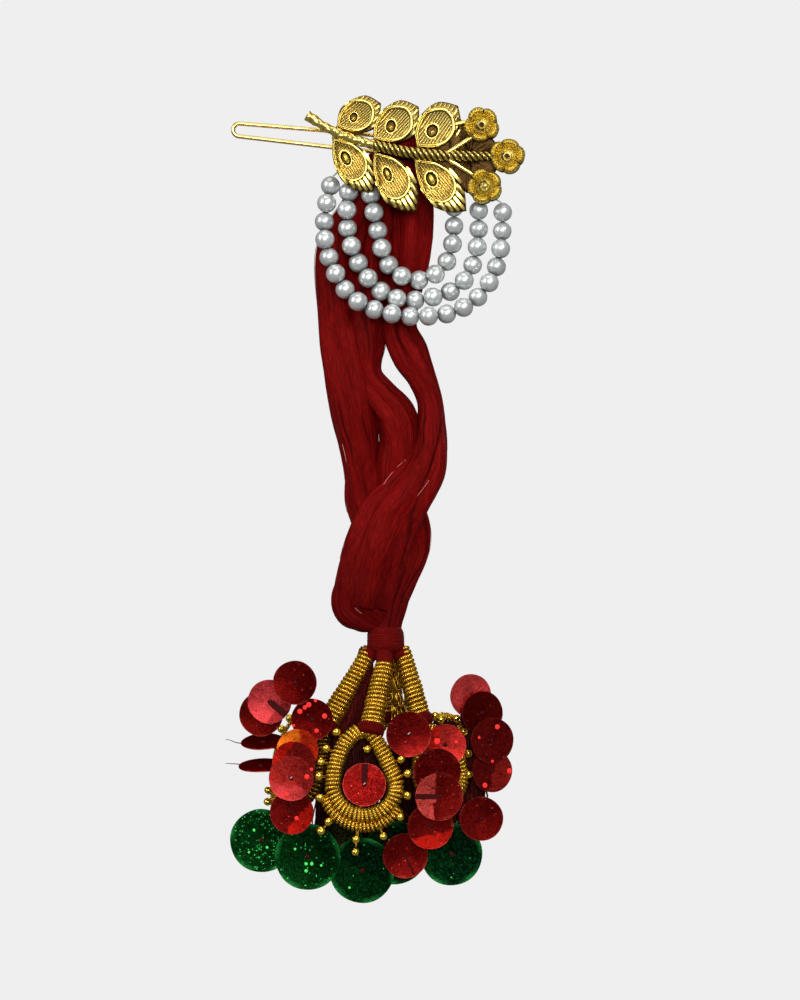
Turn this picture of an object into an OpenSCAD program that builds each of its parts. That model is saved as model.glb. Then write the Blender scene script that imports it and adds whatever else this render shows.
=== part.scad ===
// Hair tassel: a cast leaf spray on a wire hair pin, with three swags of pearls, a twisted silk
// skein and four wire-wrapped drops that carry sequin petals. It hangs as worn: +X is the
// viewer's right, +Z is up and the viewer is on the -Y side. The origin is on the pin's axis,
// behind the spray, where the pin grips the hair.

/* [Hair pin] */
// Diameter of the pin's wire
pin_wire = 0.9; // [0.7:0.1:1.0]
// Distance between the two legs, centre to centre
pin_gap = 3.4; // [3.2:0.1:3.6]
// Distance from the origin to the closed tip
pin_tip = 31; // [28:1:34]
// Distance from the origin to the legs' turned ends
pin_end = 15.6; // [15.2:0.2:16]
// Slope of the pin, in degrees, with its closed tip raised
pin_tilt = 5.7; // [5:0.1:6.4]

/* [Leaf spray] */
// Distance from the origin forward to the back of the casting
spray_back = 5; // [5:0.1:5.4]
// Thickness of a feather's plate
plate_h = 1.1; // [0.9:0.1:1.3]
// Height of a feather's raised rim
rim_h = 2.0; // [1.7:0.1:2.3]
// Width of a feather's raised rim
rim_w = 0.6; // [0.4:0.1:0.8]
// Radius of a flower
flower_r = 3.8; // [3.4:0.1:4]
// Thickness of the web that joins the last feathers, the stem and the flowers
web_h = 0.8; // [0.6:0.1:0.8]

/* [Pearls] */
// Diameter of a pearl
pearl_d = 3.5; // [3.3:0.05:3.5]
// Length of thread that a pearl takes up
pearl_pitch = 3.84; // [3.82:0.01:3.85]
// Diameter of a pearl's drilled hole
pearl_hole = 0.9; // [0.8:0.1:1.2]
// Diameter of the stringing thread
thread_d = 0.4; // [0.3:0.1:0.5]

/* [Skein] */
// Clearance between the silk and the pin's legs
silk_clearance = 0.3; // [0.2:0.05:0.4]
// Depth of the grooves between the locks of a ply, as a share of its radius
lock_depth = 0.09; // [0:0.01:0.12]

/* [Drops] */
// Diameter of a wire-wrapped leg
leg_d = 4; // [3.6:0.1:4]
// Diameter of the wire-wrapped cord round a loop
cord_d = 3; // [2.6:0.1:3.2]
// Radius of a loop's round part, to the middle of its cord
loop_r = 6.1; // [5.8:0.1:6.4]
// Distance from a loop's centre to its point
loop_point = 11.5; // [11:0.1:12]

/* [Sequins] */
// Thickness of a sequin
sequin_t = 0.25; // [0.2:0.05:0.3]
// Depth of a sequin's dish
sequin_dish = 0.25; // [0.1:0.05:0.3]
// Diameter of a sequin's hole
sequin_hole = 0.9; // [0.7:0.1:1.2]
// Distance between two layers of sequins
layer_step = 0.8; // [0.75:0.05:0.9]

/* [Hidden] */
gold = "goldenrod";
antique_gold = "darkgoldenrod";
silk = "darkred";
curve_fn = 48;
wire_fn = 24;
cord_fn = 32;
// Height inside the casting at which its raised details start
root = 0.4;
// Lugs behind the casting, each with a hole for a swag's thread
lug_y = -2.8;
lug_hole = 0.9;
lug_size = [1.8, 1.4];
knot_r = 0.8;
// Sockets behind the casting for the pin's turned ends
socket_wall = 0.9;
socket_h = 2.3;
socket_clearance = 0.15;

// Outlines of an upper and a lower feather, from the pointed tip round by the stem end
UPPER_OUTLINE = [[9.3, 6.9], [8.9, 1.6], [4.3, -0.7], [0, 0], [0.5, 4.7], [5.2, 8.1], [9.3, 6.9]];
LOWER_OUTLINE = [[8.8, -12.2], [8.9, -6.6], [5.6, -1.9], [0, 0], [0, -4.9], [1.8, -9.6], [5.4, -11.9],
                 [8.8, -12.2]];
UPPER_EYE = [3.6, 2.7];
LOWER_EYE = [2.9, -4.7];
// Each feather: [x and z of its stem end, turn in degrees, size, is an upper one]
FEATHERS = [
    [[-9.0, 3.0], -8, 0.90, true],
    [[-1.3, 0.4], 0, 1.00, true],
    [[7.6, -1.3], 9, 1.06, true],
    [[-9.9, 0.7], 2, 0.92, false],
    [[-1.3, -2.2], 0, 1.00, false],
    [[7.1, -3.8], 10, 1.00, false]];
// Each flower: [x, z, turn in degrees]
FLOWERS = [[21.2, 3.4, 10], [26.5, -3.1, 40], [21.8, -9.4, 75]];
// The stem: [x, z, height above the casting's back, radius]
STEM = [
    [-15.1, 5.3, 1.4, 1.2], [-13.2, 4.1, 1.6, 1.0], [-11.3, 2.9, 1.7, 0.9], [-8.0, 1.3, 1.8, 1.1],
    [-3.6, -0.2, 1.9, 1.0], [5.0, -2.2, 1.9, 1.15], [13.4, -3.1, 1.8, 1.15], [23.5, -3.1, 1.2, 1.0]];
// Twigs: [x, z of the start, x, z of the end]
TWIGS = [[13.4, -2.9, 19.8, 1.2], [13.4, -3.3, 20.0, -7.4]];
// The web behind the twigs: [x, z], and how far it stands forward of the casting's back
web_back = 0.1;
WEB_OUTLINE = [
    [15.7, 5.4], [18.0, 3.8], [21.2, 3.4], [26.5, -3.1], [21.8, -9.4], [18.2, -10.8], [16.6, -9.4],
    [14.8, -7.0], [12.6, -3.8], [12.6, -1.3], [14.7, 0.8]];

// Each swag's thread: [x, y, z] from lug to lug
OUTER_SWAG = [
    [-9.8, -2.8, -6.6], [-11.4, -2.9, -14.0], [-11.7, -3.2, -19.3], [-9.9, -4.0, -26.2],
    [-5.2, -4.8, -33.2], [2.7, -5.2, -36.0], [10.1, -5.4, -36.5], [17.2, -5.0, -34.9],
    [22.6, -4.2, -30.0], [25.3, -3.2, -22.5], [25.7, -2.8, -12.2]];
MIDDLE_SWAG = [
    [-6.3, -2.8, -8.2], [-7.0, -2.9, -17.0], [-4.6, -3.1, -25.2], [0.3, -3.3, -31.4],
    [5.9, -3.3, -33.1], [11.6, -3.3, -32.2], [16.7, -3.1, -30.2], [19.6, -2.9, -25.4],
    [20.7, -2.9, -19.0], [20.6, -2.8, -12.1]];
INNER_SWAG = [
    [-2.3, -2.8, -8.8], [-1.1, -2.8, -15.5], [0.3, -2.9, -21.5], [1.3, -3.1, -25.2],
    [4.1, -3.2, -28.0], [7.8, -3.2, -29.0], [11.4, -3.2, -28.0], [14.1, -3.1, -25.2],
    [15.2, -3.0, -21.5], [15.6, -2.9, -16.5], [15.4, -2.8, -11.5]];
// Where each swag's two ends are knotted: [x, z of the left lug, x, z of the right lug]
OUTER_LUGS = [-8.4, -4.8, 23.3, -10.3];
MIDDLE_LUGS = [-5.7, -5.2, 20.5, -10.2];
INNER_LUGS = [-3.1, -5.2, 15.2, -9.6];
LUGS = [OUTER_LUGS, MIDDLE_LUGS, INNER_LUGS];

// Each ply of the skein: [x, y, z, half width, half depth]
LEFT_PLY = [
    [0.4, 0.5, -2.7, 2.4, 3.0], [-1.6, 2.7, -8.4, 3.2, 3.0], [-5.0, 3.4, -14.8, 3.9, 3.5],
    [-8.6, 3.3, -22.7, 4.7, 3.8], [-8.4, 3.4, -35.2, 4.6, 3.8], [-7.5, 3.0, -41.8, 5.2, 3.8],
    [-6.5, 2.3, -48.7, 5.3, 3.7], [-5.5, 2.2, -56.3, 4.9, 3.6], [-4.6, 2.8, -62.6, 4.0, 3.4],
    [-3.6, 3.4, -69.1, 3.7, 3.3], [-2.4, 4.1, -75.2, 4.6, 3.4], [1.0, 3.9, -80.5, 5.6, 3.6],
    [4.6, 4.1, -85.9, 4.8, 3.2], [3.8, 2.6, -91.9, 3.3, 3.0], [2.2, 1.1, -98.1, 3.0, 2.6],
    [2.1, 0.9, -101.9, 2.2, 2.2], [2.1, 0.8, -104.0, 2.1, 2.1]];
MIDDLE_PLY = [
    [2.6, 0.6, -2.8, 3.0, 3.2], [1.2, 2.5, -8.6, 3.6, 3.2], [-0.4, 3.5, -14.6, 4.0, 3.7],
    [-1.6, 3.6, -23.0, 4.3, 3.9], [-2.4, 3.5, -34.7, 4.4, 3.9], [-3.2, 2.6, -42.1, 4.0, 3.7],
    [-2.8, 2.4, -48.2, 2.9, 3.4], [0.0, 1.8, -52.7, 3.4, 3.4], [3.4, 1.6, -57.2, 4.1, 3.5],
    [4.2, 1.9, -62.8, 4.2, 3.6], [3.0, 2.2, -68.3, 4.2, 3.6], [3.6, 2.8, -74.0, 4.0, 3.6],
    [5.4, 2.8, -79.4, 4.9, 3.6], [6.0, 3.6, -84.7, 4.4, 3.0], [4.2, 2.3, -91.2, 3.4, 2.9],
    [2.4, 0.9, -96.7, 2.9, 2.6], [1.3, -0.5, -102.0, 2.4, 2.2], [1.3, -0.7, -104.6, 2.3, 2.1]];
RIGHT_PLY = [
    [6.6, 0.7, -2.8, 4.0, 3.2], [6.6, 2.2, -8.7, 4.5, 3.2], [6.6, 3.5, -14.7, 4.6, 3.7],
    [6.1, 3.2, -24.3, 4.1, 3.9], [4.5, 3.1, -32.2, 3.6, 3.7], [4.0, 2.9, -38.7, 3.5, 3.4],
    [6.0, 2.3, -43.9, 3.8, 3.2], [8.7, 1.7, -49.1, 2.9, 3.1], [10.5, 1.5, -54.0, 2.5, 3.0],
    [10.8, 0.6, -59.0, 2.9, 3.2], [10.6, -0.2, -64.0, 3.5, 3.4], [9.2, -0.9, -68.9, 4.6, 3.6],
    [5.6, -1.6, -74.1, 5.4, 3.7], [2.0, -1.8, -78.8, 6.2, 3.7], [-0.6, -1.9, -84.3, 6.3, 3.8],
    [-2.4, -1.3, -89.3, 6.2, 3.9], [-3.6, -1.1, -93.9, 6.2, 3.9], [-4.4, -0.4, -96.6, 6.0, 3.7],
    [-2.4, -0.1, -98.9, 4.3, 3.2], [0.2, 0.3, -101.2, 2.3, 2.4], [0.5, 0.2, -104.6, 2.2, 2.3]];
// Locks folded over the pin, side by side
FOLD_X = [0.6, 2.9, 5.2, 7.5, 9.6];
FOLD_ARCH = [[-2.6, -3.2], [-2.7, 0.6], [-1.4, 3.3], [1.4, 3.9], [3.4, 1.4], [3.6, -3.4], [3.4, -8.0]];
fold_r = 1.6;
ply_sides = 16;
ply_locks = 5;
ply_twist = 16;

// The wrap that binds the skein's end to the wires
binding_x = 1.2;
binding_r = 4.25;
binding_bore = 3.8;
binding_top = -102.7;
binding_bottom = -106.2;
core_d = 1.6;
core_spread = 1.6;
core_top = -105.4;

// Each drop: [top of its wrapped leg, centre of its loop, [pitch, lean, yaw] of the loop]
FRONT_DROP = [[0.9, -2.8, -109.4], [-3.2, -10.0, -134.2], [-10, 6, 0]];
LEFT_DROP = [[-2.9, 0.0, -107.9], [-17.2, -1.5, -132.3], [-17, 26, -50]];
RIGHT_DROP = [[5.1, 0.0, -107.9], [12.6, -2.0, -131.9], [-10, -18, 45]];
BACK_DROP = [[1.5, 3.2, -109.0], [1.5, 9.5, -131.5], [14, 0, 0]];

// Each fan of sequins lies in layers on one tilted plane: [x, y, z of the plane, yaw, pitch]
LEFT_FAN = [-18.4, -8.6, -132.6, -6, 0];
RIGHT_FAN = [12.3, -9.8, -136.3, 6, 0];
OUTER_FAN = [23.6, 2.2, -125.4, 20, 0];
BACK_FAN = [1.5, 5.9, -131.5, 0, 14];
// Each sequin of a fan: [x, z, layer, radius], layer 0 nearest the viewer
LEFT_RED = [
    [-17.7, -112.8, 2, 4.6], [-23.0, -116.8, 3, 4.6], [-24.8, -119.5, 4, 4.6], [-14.1, -120.5, 3, 4.4],
    [-17.1, -126.8, 2, 4.4], [-17.9, -129.4, 1, 4.5], [-18.4, -132.6, 0, 4.7], [-18.3, -139.7, 1, 4.6]];
RIGHT_RED = [
    [6.0, -123.4, 2, 4.7], [13.6, -125.8, 4, 4.4], [11.9, -131.3, 1, 5.0], [12.3, -136.3, 0, 5.0],
    [10.5, -142.5, 1, 4.8], [5.3, -148.6, 2, 4.7], [21.1, -141.1, 2, 4.6]];
OUTER_RED = [[19.1, -116.0, 2, 4.6], [21.5, -119.6, 1, 4.6], [23.6, -125.4, 0, 4.8], [23.6, -131.9, 1, 4.5]];
LEFT_GREEN = [
    [-24.7, -145.8, 3, 6.6], [-15.0, -149.0, 2, 6.9], [-3.7, -151.8, 3, 6.8], [-8.4, -146.4, 4, 5.0]];
RIGHT_GREEN = [[3.2, -148.3, 6, 6.6], [14.9, -148.5, 3, 6.5]];
BACK_RED = [
    [-11.3, -131.2, 1, 5.0], [-7.4, -139.4, 2, 5.0], [3.9, -135.4, 0, 5.0], [9.3, -139.6, 2, 5.0],
    [17.2, -134.0, 1, 5.0], [1.7, -144.2, 1, 5.0]];
// Sequins that stand by themselves: [x, y, z, radius, yaw, pitch]
LOOSE_RED = [
    [-24.5, -2.7, -125.4, 4.6, -10, -72], [-25.0, -2.6, -130.4, 4.6, -10, -76],
    [-3.2, -11.2, -133.7, 4.5, 0, -10], [1.5, 10.6, -131.2, 4.5, 180, -14]];

function to_xyz(fan, s) = [
    s[0],
    fan[1] + s[2] * layer_step / (cos(fan[3]) * cos(fan[4])) + (s[0] - fan[0]) * tan(fan[3])
        + (fan[2] - s[1]) * tan(fan[4]),
    s[1]];
function fan_rows(fan, rows) = [for (s = rows) concat(to_xyz(fan, s), [s[3], fan[3], fan[4]])];
RED = concat(
    fan_rows(LEFT_FAN, LEFT_RED), fan_rows(RIGHT_FAN, RIGHT_RED), fan_rows(OUTER_FAN, OUTER_RED), LOOSE_RED,
    fan_rows(BACK_FAN, BACK_RED));
GREEN = concat(fan_rows(LEFT_FAN, LEFT_GREEN), fan_rows(RIGHT_FAN, RIGHT_GREEN));
function red_name(i) = str("red_sequin_", i + 1);
function green_name(i) = str("green_sequin_", i + 1);

// A point on a smooth curve through a table's rows, with t from 0 to the number of spans
function curve_at(rows, t) =
    let (last = len(rows) - 1, i = min(floor(t), last - 1), u = t - i,
         a = rows[max(i - 1, 0)], b = rows[i], c = rows[i + 1], d = rows[min(i + 2, last)])
    (2 * b + (c - a) * u + (2 * a - 5 * b + 4 * c - d) * u * u
     + (3 * b - a - 3 * c + d) * u * u * u) / 2;
function curve(rows, steps) = [for (i = [0:(len(rows) - 1) * steps]) curve_at(rows, i / steps)];
function lengths(points, i = 0, sum = 0) =
    i >= len(points) - 1
        ? [sum]
        : concat([sum], lengths(points, i + 1, sum + norm(points[i + 1] - points[i])));
function unit(v) = v / norm(v);

// Faces that join rings of equal size, closed by a flat cap at each end
function skin_faces(rings, sides) = concat(
    [for (r = [0:rings - 2], k = [0:sides - 1])
        [r * sides + k, (r + 1) * sides + k, r * sides + (k + 1) % sides]],
    [for (r = [0:rings - 2], k = [0:sides - 1])
        [r * sides + (k + 1) % sides, (r + 1) * sides + k, (r + 1) * sides + (k + 1) % sides]],
    [[for (k = [0:sides - 1]) k]],
    [[for (k = [sides - 1:-1:0]) (rings - 1) * sides + k]]);
module skin(rings) {
    polyhedron([for (ring = rings) each ring], skin_faces(len(rings), len(rings[0])), convexity = 8);
}

// A tube of elliptical section along rows [x, y, z, half width, half depth], with spiral locks
function tube_ring(rows, i, sides, locks, depth, twist) =
    let (p = rows[i], a = rows[max(i - 1, 0)], b = rows[min(i + 1, len(rows) - 1)],
         along = unit([b[0] - a[0], b[1] - a[1], b[2] - a[2]]),
         side = unit(cross([0, 1, 0], along)), front = cross(along, side))
    [for (k = [0:sides - 1])
        let (angle = 360 * k / sides, swell = 1 + depth * cos(locks * angle + twist * i))
        [p[0], p[1], p[2]] + swell * (p[3] * cos(angle) * side + p[4] * sin(angle) * front)];
module tube(rows, sides, locks = 0, depth = 0, twist = 0) {
    skin([for (i = [0:len(rows) - 1]) tube_ring(rows, i, sides, locks, depth, twist)]);
}

// Points on a swag's thread that stand between its pearls, one pitch apart
function swag_points(rows) =
    let (fine = curve(rows, 10), at = lengths(fine), count = floor(at[len(at) - 1] / pearl_pitch),
         start = (at[len(at) - 1] - count * pearl_pitch) / 2,
         xs = [for (i = [0:len(at) - 1]) [at[i], fine[i][0]]],
         ys = [for (i = [0:len(at) - 1]) [at[i], fine[i][1]]],
         zs = [for (i = [0:len(at) - 1]) [at[i], fine[i][2]]])
    [for (k = [0:count])
        let (s = start + k * pearl_pitch) [lookup(s, xs), lookup(s, ys), lookup(s, zs)]];

module along(a, b) {
    d = b - a;
    translate(a) rotate([0, acos(d[2] / norm(d)), atan2(d[1], d[0])]) children();
}

module pearls(rows) {
    points = swag_points(rows);
    color("whitesmoke")
        for (k = [0:len(points) - 2])
            along((points[k] + points[k + 1]) / 2, points[k + 1])
                difference() {
                    sphere(d = pearl_d, $fn = curve_fn);
                    cylinder(d = pearl_hole, h = 2 * pearl_d, center = true, $fn = curve_fn);
                }
}

// A knotted end of a swag's thread: [x, y, z, half width, half depth] from the lug's underside up
function knot_rows(x, z) =
    let (r = thread_d / 2, top = z + lug_size[1] / 2)
    concat(
        [[x, lug_y, z - lug_size[1] / 2 - 0.3, r, r]],
        [for (k = [[0.3, r], [0.5, knot_r], [1.3, knot_r], [1.6, r]]) [x, lug_y, top + k[0], k[1], k[1]]]);
function reversed(rows) = [for (i = [len(rows) - 1:-1:0]) rows[i]];

module swag_thread(rows, lugs) {
    r = thread_d / 2;
    color("ivory")
        tube(concat(
            reversed(knot_rows(lugs[0], lugs[1])),
            [for (p = swag_points(rows)) concat(p, [r, r])],
            knot_rows(lugs[2], lugs[3])), 6);
}

// Spray, drawn flat with its back on z = 0 and then stood up to face the viewer
module feather(f) {
    outline = curve(f[3] ? UPPER_OUTLINE : LOWER_OUTLINE, 3);
    eye = f[3] ? UPPER_EYE : LOWER_EYE;
    last = len(outline) - 1;
    barbs = [1, 2, last - 5, last - 4, last - 2, last - 1];
    translate(f[0]) rotate([0, 0, f[1]]) scale([f[2], f[2], 1]) {
        difference() {
            linear_extrude(rim_h) polygon(outline);
            translate([0, 0, plate_h]) linear_extrude(rim_h) offset(delta = -rim_w) polygon(outline);
        }
        // Barbs, from around the eye almost to the rim
        for (i = barbs)
            hull() {
                translate(eye + 0.56 * (outline[i] - eye)) barb_end(rim_h - 0.4, 0.15);
                translate(eye + 0.8 * (outline[i] - eye)) barb_end(rim_h - 0.2, 0.3);
            }
        translate([eye[0], eye[1], root]) rotate([0, 0, f[3] ? -35 : 25]) eye_ring();
    }
}
module barb_end(height, top_r) {
    translate([0, 0, root]) cylinder(r1 = 0.5, r2 = top_r, h = height - root, $fn = 3);
}
// Oval eye with a ridge down its middle
module eye_ring() {
    ring_h = rim_h - 0.1 - root;
    floor_h = plate_h + 0.12 - root;
    scale([0.66, 1, 1])
        difference() {
            cylinder(r1 = 2.3, r2 = 1.9, h = ring_h, $fn = 12);
            translate([0, 0, floor_h]) cylinder(r = 1.35, h = ring_h, $fn = 12);
        }
    scale([0.2, 1.3, 1]) cylinder(r1 = 1.6, r2 = 0.9, h = rim_h - root, $fn = 6);
}
// Stalk that ties a feather to the stem
module stalk(f) {
    translate([f[0][0], f[0][1], root])
        hull() {
            translate([0.3, f[3] ? 0.3 : -0.3, 0]) cylinder(r = 0.5, h = root, $fn = 8);
            translate([0.9, f[3] ? -1.7 : 1.2, 0]) cylinder(r = 0.5, h = 1.0, $fn = 8);
        }
}

function petal_edge(a) = 0.8 + 0.2 * pow(abs(sin(2.5 * a)), 0.7);
function flower_top(rho, a) = 0.8 + 2.1 * rho * rho - 0.5 * rho * rho * abs(sin(2.5 * a));
module flower() {
    sides = 30;
    // Rings from the middle of the back over the petals' edge to the middle of the face
    rings = [[0.3, -0.8], [1, -0.7], [1, 0], [0.7, 0], [0.3, 0]];
    skin([for (ring = rings) [for (k = [0:sides - 1])
        let (a = 360 * k / sides, r = flower_r * ring[0] * petal_edge(a))
        [r * cos(a), r * sin(a), flower_top(ring[0], a) + ring[1]]]]);
    // The cup in the middle, turned so that its corners miss the petals' folds
    rotate([0, 0, 8])
        difference() {
            cylinder(r1 = 1.3, r2 = 1.05, h = 2.2, $fn = 10);
            translate([0, 0, 1.2]) cylinder(r = 0.6, h = 2, $fn = 10);
        }
}

// A place on the casting's back for a point of the pin's own frame
function pin_place(u, v) = [u * cos(pin_tilt) + v * sin(pin_tilt), v * cos(pin_tilt) - u * sin(pin_tilt)];

module spray_front() {
    for (f = FEATHERS) {
        feather(f);
        stalk(f);
    }
    for (f = FLOWERS)
        translate([f[0], f[1], 0]) rotate([0, 0, f[2]]) flower();
    for (t = TWIGS)
        hull() {
            translate([t[0], t[1], 1.85]) sphere(r = 0.7, $fn = 6);
            translate([t[2], t[3], 1.15]) sphere(r = 0.6, $fn = 6);
        }
    translate([0, 0, web_back]) linear_extrude(web_h) polygon(WEB_OUTLINE);
    // Bridge that carries both pin sockets
    hull()
        for (v = [-1, 1])
            translate(concat(pin_place(pin_end, v * pin_gap / 2), [root]))
                cylinder(r = 1.2, h = 0.9, $fn = 12);
}

module leaf_spray() {
    stem = [for (s = curve(STEM, 3)) [s[0], -spray_back - s[2], s[1], s[3], s[3]]];
    lug_back = lug_y + 0.9;
    lug_front = -spray_back - 0.1;
    color(gold)
        difference() {
            union() {
                translate([0, -spray_back, 0]) rotate([90, 0, 0]) spray_front();
                tube(stem, 9, 3, 0.12, 40);
                for (v = [-1, 1])
                    pin_socket(v, pin_wire / 2 + socket_wall, -2 * root, socket_h);
                for (lug = LUGS, end = [0, 2])
                    translate([lug[end], (lug_front + lug_back) / 2, lug[end + 1]])
                        cube([lug_size[0], lug_back - lug_front, lug_size[1]], center = true);
            }
            for (v = [-1, 1])
                pin_socket(v, pin_wire / 2 + socket_clearance, 0, socket_h + 1);
            for (lug = LUGS, end = [0, 2])
                translate([lug[end], lug_y, lug[end + 1]])
                    cylinder(d = lug_hole, h = 2 * lug_size[1], center = true, $fn = 12);
        }
}

// A round bar at one of the pin's ends, between two depths behind the casting's back
module pin_socket(v, r, from, to) {
    p = pin_place(pin_end, v * pin_gap / 2);
    translate([p[0], from - spray_back, p[1]]) rotate([-90, 0, 0]) cylinder(r = r, h = to - from, $fn = 12);
}

module hair_pin() {
    r = pin_wire / 2;
    bend = 1.1;
    tip_r = 1.35;
    // The legs open from the tip over this length, then run level to their turned ends
    opening = 20;
    joint_r = r * 1.02;
    half_gap = pin_gap / 2;
    joint_x = tip_r - pin_tip;
    level_x = joint_x + opening;
    bend_x = pin_end - bend;
    color(gold) rotate([0, pin_tilt, 0]) {
        translate([joint_x, 0, 0]) rotate([90, 0, 0]) rotate([0, 0, 90])
            rotate_extrude(angle = 180, $fn = curve_fn) translate([tip_r, 0]) circle(r = r, $fn = wire_fn);
        for (side = [-1, 1]) {
            z = side * half_gap;
            translate([joint_x, 0, side * tip_r]) sphere(r = joint_r, $fn = wire_fn);
            straight_wire([joint_x, 0, side * tip_r], [level_x, 0, z], r);
            translate([level_x, 0, z]) sphere(r = joint_r, $fn = wire_fn);
            straight_wire([level_x, 0, z], [bend_x, 0, z], r);
            translate([bend_x, -bend, z])
                rotate_extrude(angle = 90, $fn = curve_fn) translate([bend, 0]) circle(r = r, $fn = wire_fn);
            straight_wire([pin_end, -bend, z], [pin_end, socket_clearance - spray_back, z], r);
        }
    }
}

module straight_wire(a, b, r) {
    along(a, b) cylinder(r = r, h = norm(b - a), $fn = wire_fn);
}

module thread_skein() {
    color(silk)
        difference() {
            union() {
                for (ply = [LEFT_PLY, MIDDLE_PLY, RIGHT_PLY])
                    tube(curve(ply, 2), ply_sides, ply_locks, lock_depth, ply_twist);
                for (x = FOLD_X, i = [0:len(FOLD_ARCH) - 2])
                    hull()
                        for (p = [FOLD_ARCH[i], FOLD_ARCH[i + 1]])
                            translate([x, p[0], p[1]]) sphere(r = fold_r, $fn = 6);
            }
            rotate([0, pin_tilt, 0])
                for (side = [-1, 1])
                    translate([-pin_tip / 2, 0, side * pin_gap / 2]) rotate([0, 90, 0])
                        cylinder(r = pin_wire / 2 + silk_clearance, h = pin_tip, $fn = 12);
        }
}

module skein_binding() {
    binding_h = binding_top - binding_bottom;
    color(silk)
        translate([binding_x, 0, binding_bottom])
            difference() {
                cylinder(r = binding_r, h = binding_h, $fn = curve_fn);
                translate([0, 0, -1]) cylinder(r = binding_bore, h = binding_h + 2, $fn = curve_fn);
            }
}

// Direction from a loop's centre to its point, for a loop turned by [pitch, lean, yaw]
function point_way(turn) =
    let (x = cos(turn[0]) * sin(turn[1]), y = -sin(turn[0]))
    [x * cos(turn[2]) - y * sin(turn[2]), x * sin(turn[2]) + y * cos(turn[2]), cos(turn[0]) * cos(turn[1])];

module drop(row) {
    top = row[0];
    centre = row[1];
    point = centre + loop_point * point_way(row[2]);
    half = 90 - acos(loop_r / loop_point);
    arm = sqrt(loop_point * loop_point - loop_r * loop_r);
    out = unit([top[0] - binding_x, top[1]]);
    core = [binding_x + core_spread * out[0], core_spread * out[1], core_top];
    color(antique_gold) {
        translate(centre) rotate(row[2]) {
            rotate([90, 0, 0]) rotate([0, 0, 180 - half])
                rotate_extrude(angle = 180 + 2 * half, $fn = curve_fn)
                    translate([loop_r, 0]) circle(d = cord_d, $fn = cord_fn);
            for (side = [-1, 1])
                translate([side * loop_r * cos(half), 0, loop_r * sin(half)])
                    rotate([0, -side * half, 0]) cylinder(d = cord_d, h = arm, $fn = cord_fn);
        }
        translate(point) sphere(d = leg_d + 0.4, $fn = cord_fn);
        along(point, top) cylinder(d = leg_d, h = norm(top - point), $fn = cord_fn);
        along(top, core) cylinder(d = core_d, h = norm(core - top), $fn = cord_fn);
    }
}

module sequin(row, tint) {
    hole = sequin_hole / 2;
    r = row[3];
    color(tint)
        translate([row[0], row[1], row[2]]) rotate([0, 0, row[4]]) rotate([row[5], 0, 0]) rotate([90, 0, 0])
            rotate_extrude($fn = curve_fn)
                polygon([[hole, -sequin_dish], [r, 0], [r, sequin_t], [hole, sequin_t - sequin_dish]]);
}

leaf_spray();
hair_pin();
pearls(OUTER_SWAG);  // pearls_outer
pearls(MIDDLE_SWAG);  // pearls_middle
pearls(INNER_SWAG);  // pearls_inner
swag_thread(OUTER_SWAG, OUTER_LUGS);  // thread_outer
swag_thread(MIDDLE_SWAG, MIDDLE_LUGS);  // thread_middle
swag_thread(INNER_SWAG, INNER_LUGS);  // thread_inner
thread_skein();
skein_binding();
drop(FRONT_DROP);  // drop_front
drop(LEFT_DROP);  // drop_left
drop(RIGHT_DROP);  // drop_right
drop(BACK_DROP);  // drop_back
for (i = [0:len(RED) - 1])
    sequin(RED[i], "firebrick");
for (i = [0:len(GREEN) - 1])
    sequin(GREEN[i], "darkgreen");
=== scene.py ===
# Hair tassel: a gilt leaf spray on a hair pin, swags of pearls, a twisted silk skein, and four
# wire-wrapped drops with sequin petals. Lengths are in millimetres until a mesh is made.
import math

import bpy
import numpy as np
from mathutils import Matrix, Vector


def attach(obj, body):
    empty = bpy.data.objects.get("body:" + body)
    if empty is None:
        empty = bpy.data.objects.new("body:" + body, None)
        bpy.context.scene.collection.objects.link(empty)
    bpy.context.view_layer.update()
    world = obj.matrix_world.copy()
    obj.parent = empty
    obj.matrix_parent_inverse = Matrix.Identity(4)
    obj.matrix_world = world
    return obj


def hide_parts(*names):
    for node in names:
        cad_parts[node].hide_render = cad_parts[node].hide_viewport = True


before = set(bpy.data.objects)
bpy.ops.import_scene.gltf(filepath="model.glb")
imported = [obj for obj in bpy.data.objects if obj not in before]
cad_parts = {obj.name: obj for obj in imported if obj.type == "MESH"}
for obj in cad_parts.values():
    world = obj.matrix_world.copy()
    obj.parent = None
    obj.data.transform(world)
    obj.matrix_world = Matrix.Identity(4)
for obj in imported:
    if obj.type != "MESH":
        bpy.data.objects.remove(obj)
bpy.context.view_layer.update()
MM = 0.001
TAU = 2 * math.pi


# Curves and frames

def vec(*values):
    return np.array(values, float)


def unit(v):
    v = np.asarray(v, float)
    return v / np.maximum(np.linalg.norm(v, axis=-1, keepdims=True), 1e-12)


def smooth(x):
    x = np.clip(x, 0, 1)
    return x * x * (3 - 2 * x)


def circle(count):
    """Even angles round a circle."""
    return np.arange(count) / count * TAU


def polar(r, a):
    return np.stack([r * np.cos(a), r * np.sin(a)], -1)


def curve(rows, steps):
    """Catmull-Rom curve through a table's rows, as the part's source draws it."""
    rows = np.asarray(rows, float)
    last = len(rows) - 1
    t = np.linspace(0, last, last * steps + 1)
    i = np.minimum(t.astype(int), last - 1)
    u = (t - i)[:, None]
    a, b, c, d = rows[np.maximum(i - 1, 0)], rows[i], rows[i + 1], rows[np.minimum(i + 2, last)]
    return (2 * b + (c - a) * u + (2 * a - 5 * b + 4 * c - d) * u ** 2
            + (3 * b - a - 3 * c + d) * u ** 3) / 2


def lengths(points):
    return np.concatenate([[0], np.cumsum(np.linalg.norm(np.diff(points[:, :3], axis=0), axis=1))])


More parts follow.
